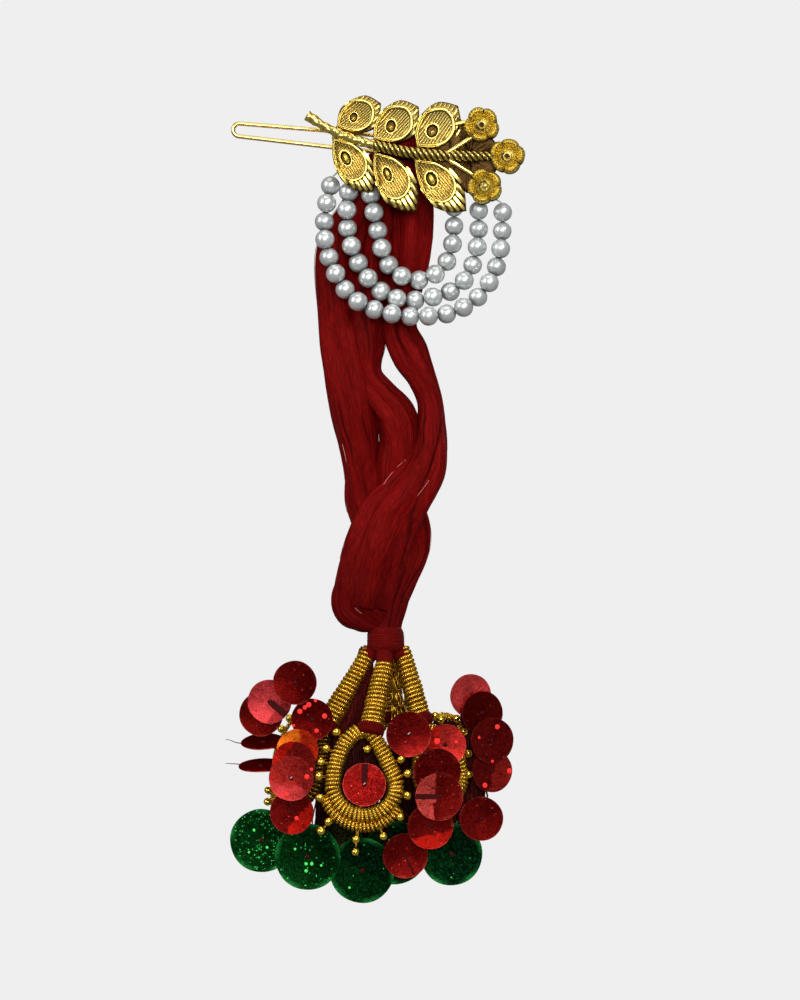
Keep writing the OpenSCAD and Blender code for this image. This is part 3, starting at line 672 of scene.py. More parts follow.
back = Batch()
stem(back)
web(back)
rod(back, stand(vec(14.6, 3.2), 1.3), stand(vec(17.8, 4.0), 1.3), 0.5)
for x0, z0, x1, z1 in TWIGS:
    rod(back, stand(vec(x0, z0), 1.85), stand(vec(x1, z1), 1.35), 0.52)
for (x, z), turn, size, upper, *_ in FEATHERS:
    a = stand(vec(x + 0.3, z + (0.3 if upper else -0.3)), 0.9)
    b = stand(vec(x + 0.9, z + (-1.7 if upper else 1.2)), 1.2)
    # The stalks behind the feathers are painted a little dark as shade
    rod(back, a, b, 0.55, 0.35)
fittings(back)
back.build("spray_stem", "gold_casting", gilt, ["leaf_spray"], sharp=50)

# Pearls
PEARL_PITCH, PEARL_R, PEARL_SWAY = 3.84, 2.03, 0.62
SWAGS = {
    "outer": [
        [-9.8, -2.8, -6.6], [-11.4, -2.9, -14.0], [-11.7, -3.2, -19.3], [-9.9, -4.0, -26.2],
        [-5.2, -4.8, -33.2], [2.7, -5.2, -36.0], [10.1, -5.4, -36.5], [17.2, -5.0, -34.9],
        [22.6, -4.2, -30.0], [25.3, -3.2, -22.5], [25.7, -2.8, -12.2]],
    "middle": [
        [-6.3, -2.8, -8.2], [-7.0, -2.9, -17.0], [-4.6, -3.1, -25.2], [0.3, -3.3, -31.4],
        [5.9, -3.3, -33.1], [11.6, -3.3, -32.2], [16.7, -3.1, -30.2], [19.6, -2.9, -25.4],
        [20.7, -2.9, -19.0], [20.6, -2.8, -12.1]],
    "inner": [
        [-2.3, -2.8, -8.8], [-1.1, -2.8, -15.5], [0.3, -2.9, -21.5], [1.3, -3.1, -25.2],
        [4.1, -3.2, -28.0], [7.8, -3.2, -29.0], [11.4, -3.2, -28.0], [14.1, -3.1, -25.2],
        [15.2, -3.0, -21.5], [15.6, -2.9, -16.5], [15.4, -2.8, -11.5]]}


def swag_points(rows):
    fine = curve(rows, 10)
    at = lengths(fine)
    count = int(at[-1] // PEARL_PITCH)
    to = (at[-1] - count * PEARL_PITCH) / 2 + np.arange(count + 1) * PEARL_PITCH
    return np.stack([np.interp(to, at, fine[:, k]) for k in range(3)], 1)


draws = np.random.default_rng(11)
for name, rows in SWAGS.items():
    batch = Batch()
    ends = swag_points(rows)
    for k, (a, b) in enumerate(zip(ends[:-1], ends[1:])):
        lat, profile = drilled_ball(PEARL_R * (1 - 0.02 * draws.random()), 0.24, 18, 1.0, 0.4, 0.9)
        # Darker near the ends where pearls touch, as painted shade; each pearl's tone also varies at random
        dull = 0.25 * draws.random() ** 2 + 0.85 * smooth((abs(np.cos(lat)) - 0.66) / 0.3)
        batch.add(*turned(profile, 36, (a + b) / 2 + [0, PEARL_SWAY * (-1) ** k, 0], b - a),
                  tone=np.repeat([*dull, 1, 1], 36))
    batch.build(f"pearl_string_{name}", "pearl", pearl_material, [f"pearls_{name}"])

# Silk
# Each ply's middle line, with its half width and half depth: [x, y, z, half width, half depth]
PLIES = {
    "left": [
        [0.4, 0.5, -2.7, 2.4, 3.0], [-1.6, 2.7, -8.4, 3.2, 3.0], [-5.0, 3.4, -14.8, 3.9, 3.5],
        [-8.6, 3.3, -22.7, 4.7, 3.8], [-8.4, 3.4, -35.2, 4.6, 3.8], [-7.5, 3.0, -41.8, 5.2, 3.8],
        [-6.5, 2.3, -48.7, 5.3, 3.7], [-5.5, 2.2, -56.3, 4.9, 3.6], [-4.6, 2.8, -62.6, 4.0, 3.4],
        [-3.6, 3.4, -69.1, 3.7, 3.3], [-2.4, 4.1, -75.2, 4.6, 3.4], [1.0, 3.9, -80.5, 5.6, 3.6],
        [4.6, 4.1, -85.9, 4.8, 3.2], [3.8, 2.6, -91.9, 3.3, 3.0], [2.2, 1.1, -98.1, 3.0, 2.6],
        [2.1, 0.9, -101.9, 2.2, 2.2], [2.1, 0.8, -104.0, 2.1, 2.1]],
    "middle": [
        [2.6, 0.6, -2.8, 3.0, 3.2], [1.2, 2.5, -8.6, 3.6, 3.2], [-0.4, 3.5, -14.6, 4.0, 3.7],
        [-1.6, 3.6, -23.0, 4.3, 3.9], [-2.4, 3.5, -34.7, 4.4, 3.9], [-3.2, 2.6, -42.1, 4.0, 3.7],
        [-2.8, 2.4, -48.2, 2.9, 3.4], [0.0, 1.8, -52.7, 3.4, 3.4], [3.4, 1.6, -57.2, 4.1, 3.5],
        [4.2, 1.9, -62.8, 4.2, 3.6], [3.0, 2.2, -68.3, 4.2, 3.6], [3.6, 2.8, -74.0, 4.0, 3.6],
        [5.4, 2.8, -79.4, 4.9, 3.6], [6.0, 3.6, -84.7, 4.4, 3.0], [4.2, 2.3, -91.2, 3.4, 2.9],
        [2.4, 0.9, -96.7, 2.9, 2.6], [1.3, -0.5, -102.0, 2.4, 2.2], [1.3, -0.7, -104.6, 2.3, 2.1]],
    "right": [
        [6.6, 0.7, -2.8, 4.0, 3.2], [6.6, 2.2, -8.7, 4.5, 3.2], [6.6, 3.5, -14.7, 4.6, 3.7],
        [6.1, 3.2, -24.3, 4.1, 3.9], [4.5, 3.1, -32.2, 3.6, 3.7], [4.0, 2.9, -38.7, 3.5, 3.4],
        [6.0, 2.3, -43.9, 3.8, 3.2], [8.7, 1.7, -49.1, 2.9, 3.1], [10.5, 1.5, -54.0, 2.5, 3.0],
        [10.8, 0.6, -59.0, 2.9, 3.2], [10.6, -0.2, -64.0, 3.5, 3.4], [9.2, -0.9, -68.9, 4.6, 3.6],
        [5.6, -1.6, -74.1, 5.4, 3.7], [2.0, -1.8, -78.8, 6.2, 3.7], [-0.6, -1.9, -84.3, 6.3, 3.8],
        [-2.4, -1.3, -89.3, 6.2, 3.9], [-3.6, -1.1, -93.9, 6.2, 3.9], [-4.4, -0.4, -96.6, 6.0, 3.7],
        [-2.4, -0.1, -98.9, 4.3, 3.2], [0.2, 0.3, -101.2, 2.3, 2.4], [0.5, 0.2, -104.6, 2.2, 2.3]]}
FOLD_X = [0.6, 2.9, 5.2, 7.5, 9.6]
FOLD_ARCH = [[-2.6, -3.2], [-2.7, 0.6], [-1.4, 3.3], [1.4, 3.9], [3.4, 1.4], [3.6, -3.4], [3.4, -8.0]]
FOLD_R = 1.6
LOCK_TURN = math.radians(3.2)
# Waves that bend a bundle's strands: size, cells round it and along it, and a cell's length
BENDS = [(0.030, 7, 40, 11), (0.012, 23, 60, 4.5)]
# Sizes of strand: width, and share of the relief
STRANDS = [(2.6, 0.30), (1.15, 0.28), (0.42, 0.42)]
# How many gaps between locks a bundle has, and each one's width and depth
LOCKS, LOCK_GAP, LOCK_DEPTH = 6, 0.28, 0.9
# The height from which the skein darkens downwards, and over how far
SHADE_TOP, SHADE_FALL = -78, 26


def ripples(seed, around, along, u, v):
    """Smooth noise from -1 to 1 that repeats round a bundle: u from 0 to 1, v in cells."""
    table = np.random.default_rng(seed).uniform(-1, 1, (along + 3, around))
    x, y = (u % 1.0) * around, np.clip(v, 0, along + 1.001)
    i, j = x.astype(int) % around, y.astype(int)
    fx, fy = smooth(x - np.floor(x)), smooth(y - j)
    low = table[j, i] * (1 - fx) + table[j, (i + 1) % around] * fx
    high = table[j + 1, i] * (1 - fx) + table[j + 1, (i + 1) % around] * fx
    return low * (1 - fy) + high * fy


def strand_relief(seed, u, s, girth):
    """Height of the strands on a bundle, from 0 in a groove to 1, and the turn u as the strands bend it."""
    bends = [size * ripples(seed + k, around, along, u, s / cell)
             for k, (size, around, along, cell) in enumerate(BENDS)]
    for bend in bends:
        u = u + bend
    height = np.zeros(np.broadcast(u, s).shape)
    for k, (width, share) in enumerate(STRANDS):
        count = max(int(girth / width), 3)
        bend = 0.7 / count * ripples(seed + 10 + k, count, 60, u, s / 5)
        crest = np.abs(np.sin(np.pi * count * (u + bend))) ** 0.6
        height = height + share * crest * (1 + 0.6 * ripples(seed + 20 + k, count, 60, u, s / 6))
    for k in range(LOCKS):
        middle = k / LOCKS + 0.06 * ripples(seed + 40 + k, 3, 20, 0 * u, s / 14)
        away = ((u - middle + 0.5) % 1 - 0.5) * girth
        deep = smooth(0.4 + 1.5 * ripples(seed + 50 + k, 3, 20, 0 * u, s / 12))
        height = height - LOCK_DEPTH * deep * np.exp(-(away / LOCK_GAP) ** 2)
    return height, u


def low_shade(points):
    """How far each point has come into the dark lower part of the skein."""
    return smooth((SHADE_TOP - points[:, 2]) / SHADE_FALL)


def silk_bundle(batch, path, half_w, half_d, frames, seed, turn, swell, cols, depth, stray):
    """A soft bundle of strands round a path, with its half width and half depth at each point."""
    at = lengths(path)[:, None]
    angle = circle(cols)[None]
    lock = angle + turn[:, None]
    girth = TAU * np.mean((half_w + half_d) / 2)
    relief, bent = strand_relief(seed, lock / TAU, at, girth)
    halves = np.stack([half_w, half_d], 1)
    grow = 1 + swell * np.cos(5 * lock)
    flat = (halves[:, None] * grow[..., None] + depth * (relief[..., None] - 0.8)) * polar(1, angle)
    points = np.concatenate([rings(path, frames, flat).reshape(-1, 3), path[:1], path[-1:]])
    flow = np.concatenate([polar(girth / TAU, TAU * bent), (at * 0.09 + 0 * lock)[..., None]], -1)
    flow = np.concatenate([flow.reshape(-1, 3), np.zeros((2, 3))]) + seed
    # Painted shade in the grooves between strands
    groove = ended(smooth(1 - relief / 0.75), 1, 1)
    batch.add(points, closed_grid(len(path), cols), flow=flow, groove=groove, shade=low_shade(points))
    # Stray strands that lie on the bundle; a few of them are painted pale as glints
    side, front = frames
    draws = np.random.default_rng(seed + 5)
    for k in range(stray):
        start = int(draws.integers(2, len(path) - 24))
        glint = k % 15 == 0
        rows = np.arange(start, min(start + (7 if glint else int(draws.integers(20, 50))), len(path) - 2))
        u = draws.random() * TAU + 0.12 * np.sin(rows * draws.uniform(0.1, 0.3) + draws.random() * TAU)
        col = (u - turn[rows]) % TAU
        lift = 0.04 + draws.uniform(0, 0.08) * np.sin(np.linspace(0, math.pi, len(rows)))
        lift[[0, -1]] = -0.25
        grow = 1 + swell * np.cos(5 * (col + turn[rows]))
        flat = (halves[rows] * grow[:, None] + lift[:, None]) * polar(1, col)
        line = path[rows] + flat[:, :1] * side[rows] + flat[:, 1:] * front[rows]
        points, faces = sweep(line, draws.uniform(0.035, 0.06), 4)
        batch.add(points, faces, flow=np.full((len(points), 3), draws.random() * 9), groove=-draws.random(),
                  shade=low_shade(points), glint=float(glint))


def ply_frames(path):
    along = tangents(path)
    side = unit(np.cross([0, 1, 0], along))
    return side, np.cross(along, side)


def silk_look(name, deep, body, light):
    look = Look(name, Specular_IOR_Level=0.09, Specular_Tint=(1, 0.25, 0.22))
    flow = look.mark("flow", True)
    fine = look.noise(flow, 6.5, 3, 0.65)
    broad = look.noise(flow, 0.8, 2)
    groove, shade = look.mark("groove"), look.mark("shade")
    colour = look.mix(look.spread(broad, 0.35, 0.65), body, deep)
    colour = look.mix(look.spread(fine, 0.50, 0.78), colour, light)
    # Painted shade in the fine gaps between fibres, in the grooves between strands, and towards the bottom of
    # the skein
    colour = look.mix(look.spread(fine, 0.46, 0.26, 0.0, 0.75), colour, SILK_SHADE)
    colour = look.mix(look.times(groove, 0.9, True), colour, SILK_SHADE)
    colour = look.mix(look.times(shade, 0.55), colour, SILK_SHADE)
    # A few stray strands painted pale as glints: painted highlights
    look.set(Base_Color=look.mix(look.mark("glint"), colour, (0.75, 0.30, 0.25)))
    look.set(Roughness=look.spread(fine, 0.3, 0.7, 0.42, 0.6))
    look.set(Normal=look.bump(fine, 0.12, 0.8))
    return look.material


# The dark red of painted shade on the silk
SILK_SHADE = (0.045, 0.0008, 0.001)
silk = silk_look("silk", (0.112, 0.0017, 0.0018), (0.170, 0.0026, 0.0026), (0.28, 0.007, 0.0055))
PLY_STEPS, PLY_COLS, PLY_STRAYS, FOLD_COLS, FOLD_STRAYS = 8, 236, 60, 56, 3
for k, (name, rows) in enumerate(PLIES.items()):
    line = curve(rows, PLY_STEPS)
    path = line[:, :3]
    turn = np.arange(len(line)) * 2 / PLY_STEPS * LOCK_TURN
    batch = Batch()
    silk_bundle(batch, path, line[:, 3], line[:, 4], ply_frames(path), 31 + 50 * k, turn, 0.09, PLY_COLS,
                0.30, PLY_STRAYS)
    if name == "left":
        for j, x in enumerate(FOLD_X):
            arch = curve([[x, y, z] for y, z in FOLD_ARCH], PLY_STEPS)
            r = np.full(len(arch), FOLD_R * 1.02)
            silk_bundle(batch, arch, r, r, carried_frames(arch, (1, 0, 0)), 301 + 11 * j,
                        np.arange(len(arch)) * 0.02, 0.0, FOLD_COLS, 0.22, FOLD_STRAYS)
    batch.build(f"silk_ply_{name}", "silk", silk, ["thread_skein"])

# The binding, and the silk round the drops' tops and points
BINDING_X, CORE_SPREAD, CORE_TOP = 1.2, 1.6, -105.4
# Each drop: top of its wrapped leg, centre of its loop, loop's pitch, lean and yaw
DROPS = {
    "front": ([0.9, -2.8, -109.4], [-3.2, -10.0, -134.2], (-10, 6, 0)),
    "left": ([-2.9, 0.0, -107.9], [-17.2, -1.5, -132.3], (-17, 26, -50)),
    "right": ([5.1, 0.0, -107.9], [12.6, -2.0, -131.9], (-10, -18, 45)),
    "back": ([1.5, 3.2, -109.0], [1.5, 9.5, -131.5], (14, 0, 0))}
LEG_R, CORD_R, LOOP_R, LOOP_POINT = 2.0, 1.5, 6.1, 11.5
# How each wrapped leg's thickness goes from its top to its loop
FLARE = {"front": (1.05, 1.4), "left": (0.95, 1.3), "right": (0.95, 1.2), "back": (0.9, 1.15)}


def spin(turn):
    """Rotation by degrees about x, then y, then z."""
    x, y, z = (math.radians(t) for t in turn)
    rx = np.array([[1, 0, 0], [0, math.cos(x), -math.sin(x)], [0, math.sin(x), math.cos(x)]])
    ry = np.array([[math.cos(y), 0, math.sin(y)], [0, 1, 0], [-math.sin(y), 0, math.cos(y)]])
    rz = np.array([[math.cos(z), -math.sin(z), 0], [math.sin(z), math.cos(z), 0], [0, 0, 1]])
    return rz @ ry @ rx


def loop_point(name):
    """The point of a drop's loop, and the way down to it from its leg's top."""
    top, centre, turn = DROPS[name]
    point = centre + LOOP_POINT * (spin(turn) @ vec(0, 0, 1))
    return point, unit(point - top)


def wound_silk(batch, path, radius, pitch, seed, cols=44, shade=0.0):
    """Silk wrapped round a core: the turns stand out as soft, uneven ridges."""
    at = lengths(path)[:, None]
    angle = circle(cols)[None]
    u = angle / TAU
    s = at / pitch + u + 0.9 * ripples(seed, 5, 40, u, at / 2)
    ridge = np.abs(np.sin(np.pi * s)) ** 0.5
    uneven = 1 + 0.035 * ripples(seed + 3, 6, 40, u, at / 1.3)
    points, faces = sweep(path, radius[:, None] * uneven + 0.10 * (ridge - 1), cols)
    flow = np.stack([s * 3, 2 * np.cos(angle) + 0 * s, 2 * np.sin(angle) + 0 * s], -1).reshape(-1, 3)
    flow = np.concatenate([flow, flow[:2]]) + seed
    # Painted shade between the turns
    batch.add(points, faces, flow=flow, groove=ended(0.6 - 0.6 * ridge, 1, 1), shade=shade)


def between(count, marks, values):
    """Values at even steps from the first mark to the last."""
    return np.interp(np.linspace(marks[0], marks[-1], count), marks, values)


binding = Batch()
z = between(80, range(8), [-101.4, -101.9, -102.6, -103.4, -104.4, -105.4, -106.1, -106.7])
r = between(80, range(8), [3.1, 3.55, 3.85, 3.95, 3.98, 3.95, 3.7, 3.0])
wound_silk(binding, np.stack([BINDING_X + 0 * z, 0 * z, z], 1), r, 0.55, 401, 96)
for k, (name, (top, _, _)) in enumerate(DROPS.items()):
    out = unit(vec(*top[:2]) - [BINDING_X, 0])
    core = vec(BINDING_X + CORE_SPREAD * out[0], CORE_SPREAD * out[1], CORE_TOP)
    path = np.linspace(core, top + unit(top - core) * 0.4, 40)
    wound_silk(binding, path, between(40, [0, 0.5, 1], [1.9, 1.85, 1.7]), 0.45, 411 + k)
    # The silk that ties a leg to its loop
    point, down = loop_point(name)
    path = np.linspace(point - down * 1.6, point + down * 0.9, 30)
    tie = FLARE[name][1] * between(30, [0, 0.2, 0.8, 1], [1.9, 2.12, 2.05, 1.6])
    wound_silk(binding, path, tie, 0.4, 431 + k, shade=0.6)
bright_silk = silk_look("bright_silk", (0.09, 0.0015, 0.002), (0.14, 0.003, 0.003), (0.29, 0.011, 0.009))
binding.build("silk_binding", "silk", bright_silk, ["skein_binding"])


# Drops: a core with a fine wire wound round it.
# The front loop's left and right sides from its point, and how much wider it is
BOWED_LEFT = [[-0.4, 11.5], [-1.9, 11.5], [-3.7, 9.9], [-5.0, 7.6], [-5.8, 4.6], [-6.1, 1.8]]
BOWED_RIGHT = [[3.5, 6.4], [2.3, 8.4], [1.1, 10.2], [0.3, 11.5]]
BOWED_SCALE = [1.07, 1.0]


def on_plane(flat, turn, centre, y=0.0):
    """Places [x, z] on a drop's own turned plane, or y behind it, as points in space."""
    return np.stack([flat[:, 0], y + 0 * flat[:, 0], flat[:, 1]], 1) @ spin(turn).T + centre


def loop_line(centre, turn, count, bowed=False):
    """A teardrop loop's middle line, from its point round and back to it; its left side can bow out."""
    half = math.pi / 2 - math.acos(LOOP_R / LOOP_POINT)
    arc = np.linspace(math.pi - half, TAU + half, 60)
    flat = np.concatenate([[[0, LOOP_POINT]], polar(LOOP_R, arc), [[0, LOOP_POINT]]])
    if bowed:
        low = arc[(arc > math.pi + 0.1) & (arc < TAU + 0.75)]
        flat = curve(np.concatenate([BOWED_LEFT, polar(LOOP_R, low), BOWED_RIGHT]), 4) * BOWED_SCALE
    return on_plane(resample(flat, count), turn, centre)


def coil(batch, path, outer, wire, pitch, seed, dark=None, flare=(1.0, 1.0), fine=True):
    """Round wire wound on a core; "bead" counts its fine twist, and draws make the turns uneven.
    The whole grows or narrows from one share of its radius to another along the path."""
    whole = lengths(path)[-1]
    turns = whole / pitch
    sides, steps = (8, 20) if fine else (5, 12)
    count = int(turns * steps)
    line = resample(path, count)
    side, front = carried_frames(line, (0, 1, 0.001))
    s = np.linspace(0, turns, count)
    draws = np.random.default_rng(seed)
    knots = np.arange(int(turns) + 2)
    jitter = np.interp(s, knots, draws.normal(0, 0.06, len(knots)))
    reach = np.interp(np.linspace(0, whole, count), *TAPER) * (outer - wire) * (1 + 0.5 * jitter)
    flat = (reach * np.linspace(*flare, count))[:, None] * polar(1, s * TAU)
    helix = line + flat[:, :1] * side + flat[:, 1:] * front + tangents(line) * (jitter * pitch)[:, None]
    points, faces = sweep(helix, wire, sides)
    at = lengths(helix)
    tone = np.interp(s, knots, draws.random(len(knots)))
    batch.add(points, faces, bead=ended(np.repeat(at, sides), at[0], at[-1]),
              tone=ended(np.repeat(tone, sides), 0, 0), dark=dark(points) if dark else 0.0)
    # The core under the turns, painted dark as shade
    rows = max(int(whole * 1.5), 8)
    points, faces = sweep(resample(path, rows), (outer - 1.45 * wire) * np.linspace(*flare, rows), 20)
    batch.add(points, faces, tone=1.0, dark=0.8)


# The darks are painted shade: in the grooves of the wire's fine twist, on the core under the turns, on the
# short bead wires and on the left loop's arm; the worn tone varies at random between turns
WIRE_GOLD, WIRE_DEEP, WIRE_WORN = (0.98, 0.60, 0.06), (0.74, 0.43, 0.04), (0.20, 0.105, 0.012)
WIRE_TWIST_SHADE, WIRE_SHADE, WIRE_TWIST = (0.06, 0.026, 0.004), (0.022, 0.004, 0.002), 0.34


def wire_look():
    look = Look("antique_wire", Metallic=1.0, Specular_Tint=(0.8, 0.5, 0.12))
    at = look.place()
    tone, bead = look.mark("tone"), look.mark("bead")
    cloud = look.noise(at, 0.7, 3)
    twist = look.math("SINE", look.times(bead, TAU / WIRE_TWIST))
    colour = look.mix(look.spread(cloud, 0.35, 0.65), WIRE_GOLD, WIRE_DEEP)
    colour = look.mix(look.times(tone, 0.35), colour, WIRE_WORN)
    # Painted shade in the grooves of the twist
    colour = look.mix(look.spread(twist, -1.0, -0.2, 0.6, 0.0), colour, WIRE_TWIST_SHADE)
    look.set(Base_Color=look.mix(look.mark("dark"), colour, WIRE_SHADE))
    look.set(Roughness=look.spread(cloud, 0.3, 0.7, 0.20, 0.34), Normal=look.bump(twist, 0.05, 0.7))
    return look.material


wire = wire_look()
TAPER = ([0, 1.2], [0.82, 1.0])
# How far a leg's wire starts above its top, and the left loop's arm in the other drops' shade
RISE = {"front": 0.5, "left": 2.1, "right": 2.1, "back": 0.5}
SHADED = {"left": lambda p: 0.75 * smooth((p[:, 0] + 17.0) / 2.0) * smooth(-(p[:, 2] + 121) / 3)}
FRONT_CORD_R, FRINGE_REACH, FRINGE_R = 1.8, 8.35, 1.3
for k, (name, (top, centre, turn)) in enumerate(DROPS.items()):
    is_front = name == "front"
    point, down = loop_point(name)
    batch = Batch()
    coil(batch, np.linspace(top - down * RISE[name], point - down * 0.9, 40), LEG_R, 0.46, 0.93, 501 + k,
         flare=FLARE[name])
    coil(batch, loop_line(centre, turn, 200, is_front), FRONT_CORD_R if is_front else CORD_R, 0.43, 0.84,
         511 + k, SHADED.get(name))
    if is_front:
        # Loose turns that stand out below the front loop
        fringe = polar(FRINGE_REACH, np.radians(np.linspace(-158, -24, 60)))
        coil(batch, on_plane(fringe, turn, centre, 0.3), FRINGE_R, 0.36, 0.80, 521)
    batch.build(f"wire_drop_{name}", "gold_wire", wire, [f"drop_{name}"])


# Sequins, from the part's own rows
LAYER_STEP = 0.8
LEFT_FAN, RIGHT_FAN = (-18.4, -8.6, -132.6, -6, 0), (12.3, -9.8, -136.3, 6, 0)
OUTER_FAN, BACK_FAN = (23.6, 2.2, -125.4, 20, 0), (1.5, 5.9, -131.5, 0, 14)
LEFT_RED = [
    [-17.7, -112.8, 2, 4.6], [-23.0, -116.8, 3, 4.6], [-24.8, -119.5, 4, 4.6], [-14.1, -120.5, 3, 4.4],
    [-17.1, -126.8, 2, 4.4], [-17.9, -129.4, 1, 4.5], [-18.4, -132.6, 0, 4.7], [-18.3, -139.7, 1, 4.6]]
RIGHT_RED = [
    [6.0, -123.4, 2, 4.7], [13.6, -125.8, 4, 4.4], [11.9, -131.3, 1, 5.0], [12.3, -136.3, 0, 5.0],
    [10.5, -142.5, 1, 4.8], [5.3, -148.6, 2, 4.7], [21.1, -141.1, 2, 4.6]]
OUTER_RED = [[19.1, -116.0, 2, 4.6], [21.5, -119.6, 1, 4.6], [23.6, -125.4, 0, 4.8], [23.6, -131.9, 1, 4.5]]
LEFT_GREEN = [
    [-24.7, -145.8, 3, 6.6], [-15.0, -149.0, 2, 6.9], [-3.7, -151.8, 3, 6.8], [-8.4, -146.4, 4, 5.0]]
RIGHT_GREEN = [[3.2, -148.3, 6, 6.6], [14.9, -148.5, 3, 6.5]]
# Sequins of the back drop, seen through the gaps; their dusk tints are painted shade
BACK_RED = [
    [-11.3, -131.2, 1, 5.0], [-7.4, -139.4, 2, 5.0], [3.9, -135.4, 0, 5.0], [9.3, -139.6, 2, 5.0],
    [17.2, -134.0, 1, 5.0], [1.7, -144.2, 1, 5.0]]
LOOSE_RED = [
    [-24.5, -2.7, -125.4, 4.6, -10, -72], [-25.0, -2.6, -130.4, 4.6, -10, -76],
    [-3.2, -11.2, -133.7, 4.5, 0, -10], [1.5, 10.6, -131.2, 4.5, 180, -14]]


def fan_rows(fan, rows):
    """Sequins that lie in layers on one tilted plane: [x, y, z, radius, yaw, pitch]."""
    x0, y0, z0, yaw, pitch = fan
    side, fall = math.tan(math.radians(yaw)), math.tan(math.radians(pitch))
    step = LAYER_STEP / math.cos(math.radians(yaw)) / math.cos(math.radians(pitch))
    return [[x, y0 + layer * step + (x - x0) * side + (z0 - z) * fall, z, r, yaw, pitch]
            for x, z, layer, r in rows]


RED = (fan_rows(LEFT_FAN, LEFT_RED) + fan_rows(RIGHT_FAN, RIGHT_RED) + fan_rows(OUTER_FAN, OUTER_RED)
       + LOOSE_RED + fan_rows(BACK_FAN, BACK_RED))
GREEN = fan_rows(LEFT_FAN, LEFT_GREEN) + fan_rows(RIGHT_FAN, RIGHT_GREEN)
SEQUIN_HOLE, SEQUIN_T, DISH = 0.45, 0.25, 0.25
FACE_LIFT = 0.8 * SEQUIN_T
# Tints of the red foil, from dark to light: painted shade and light as well as the foil's colour
DUSK, DEEP, WINE = (0.022, 0.0006, 0.001), (0.060, 0.0012, 0.001), (0.105, 0.003, 0.0025)
RUBY, ROSE = (0.19, 0.008, 0.007), (0.40, 0.020, 0.016)
PINK, PALE = (0.56, 0.045, 0.050), (0.50, 0.050, 0.040)
SCARLET, ORANGE, BLUSH = (0.60, 0.012, 0.006), (1.0, 0.20, 0.012), (0.95, 0.08, 0.08)
# Each red sequin's foil, the foil of its facet, the facet's turn, where it starts, and its strength. A
# facet's tint is a painted reflection of a bend in the sequin.
RED_FOILS = [
    (DEEP, WINE, 120, 0.1, 0.6), (PINK, WINE, -35, 0.45, 0.6), (DEEP, WINE, 200, 0.3, 0.5),
    (DEEP, WINE, 0, 0.0, 0.4), (ORANGE, SCARLET, 0, 0.15, 0.9), (RUBY, SCARLET, 150, 0.45, 0.8),
    (ROSE, PINK, -100, 0.3, 0.6), (WINE, SCARLET, -40, 0.35, 0.7), (WINE, RUBY, -90, 0.5, 0.4),
    (ROSE, SCARLET, 180, 0.3, 0.8), (DEEP, WINE, 90, 0.3, 0.5), (WINE, PALE, 180, 0.18, 1.0),
    (WINE, SCARLET, -80, 0.35, 0.5), (WINE, DEEP, 0, 0.3, 0.4), (WINE, DEEP, 0, 0.2, 0.5),
    (BLUSH, RUBY, -90, 0.4, 0.3), (WINE, DEEP, -90, 0.0, 0.5), (RUBY, WINE, 0, 0.0, 0.5),
    (RUBY, ROSE, -20, 0.1, 0.8), (WINE, DEEP, 90, 0.5, 0.5), (WINE, DEEP, 90, 0.5, 0.5),
    (DEEP, WINE, 90, 0.3, 0.4), (WINE, RUBY, 0, 0.2, 0.5)] + 6 * [(DUSK, DEEP, 60, 0.2, 0.5)]
# The share of a foil's grains that are painted bright as glints, where it isn't the common one
GLITTER = {"green_sequin_1": 0.32, "green_sequin_2": 0.10, "green_sequin_4": 0.0, "red_sequin_20": 0.0,
           "red_sequin_21": 0.0}
COMMON_GLITTER = 0.02
# Green tints, from light to dark; the dark ones are painted shade as well as the foil's colour
FERN, PINE, NIGHT = (0.002, 0.026, 0.004), (0.0012, 0.015, 0.003), (0.0008, 0.006, 0.003)
GREEN_FOILS = [(FERN, PINE, -20, 0.2, 0.8), (PINE, FERN, 200, 0.1, 0.8), (PINE, NIGHT, 60, 0.0, 0.9),
               (NIGHT, DUSK, 90, 0.0, 0.5), (NIGHT, PINE, 0, 0.4, 0.5), (NIGHT, PINE, 200, 0.3, 0.4)]


def sequin_face(row, seed):
    """A sequin's matrix and centre, its dished height at a share of the radius and a turn, and its lean."""
    x, y, z, r, yaw, pitch = row
    draws = np.random.default_rng(seed)
    warp = draws.uniform(0.05, 0.10)
    lean, lean2 = draws.random(2) * TAU

    def height(share, a):
        return (DISH * (share ** 1.5 - 1) + 0.6 * warp * share ** 2 * np.cos(2 * a + lean)
                + 0.03 * share * np.cos(3 * a + lean2))
    return spin((pitch, 0, yaw)) @ spin((90, 0, 0)), vec(x, y, z), height, lean


def sequin(name, row, slot, material, foil, seed):
    r = row[3]
    m, centre, height, lean = sequin_face(row, seed)
    tint, tint2, turn, start, strength = foil
    cols = 56
    a = circle(cols)
    radii = np.concatenate([np.linspace(SEQUIN_HOLE, r - 0.12, 7), [r - 0.03, r]])
    front = [(far, FACE_LIFT - 0.05 * (far == r)) for far in radii]
    rows = []
    for far, lift in front + [(far, 0) for far in radii[::-2]]:
        edge = far * (1 + 0.006 * np.cos(5 * a + lean))
        rows.append(np.concatenate([polar(edge, a), (height(far / r, a) + lift)[:, None]], 1))
    local = np.concatenate(rows + [rows[0]])
    flat = local[:, :2] / r
    batch = Batch()
    batch.add(local @ m.T + centre, grid_faces(len(rows) + 1, cols)[:, ::-1], tint=tint, tint2=tint2,
              side=flat @ polar(1, math.radians(turn)) - start, mixed=strength,
              polar=np.concatenate([flat, np.full((len(flat), 1), seed * 1.7)], 1),
              glitter=GLITTER.get(name, COMMON_GLITTER),
              rim=smooth((np.linalg.norm(flat, axis=1) - 0.975) / 0.02))
    batch.build(f"{name}_foil", slot, material, [name], sharp=40)


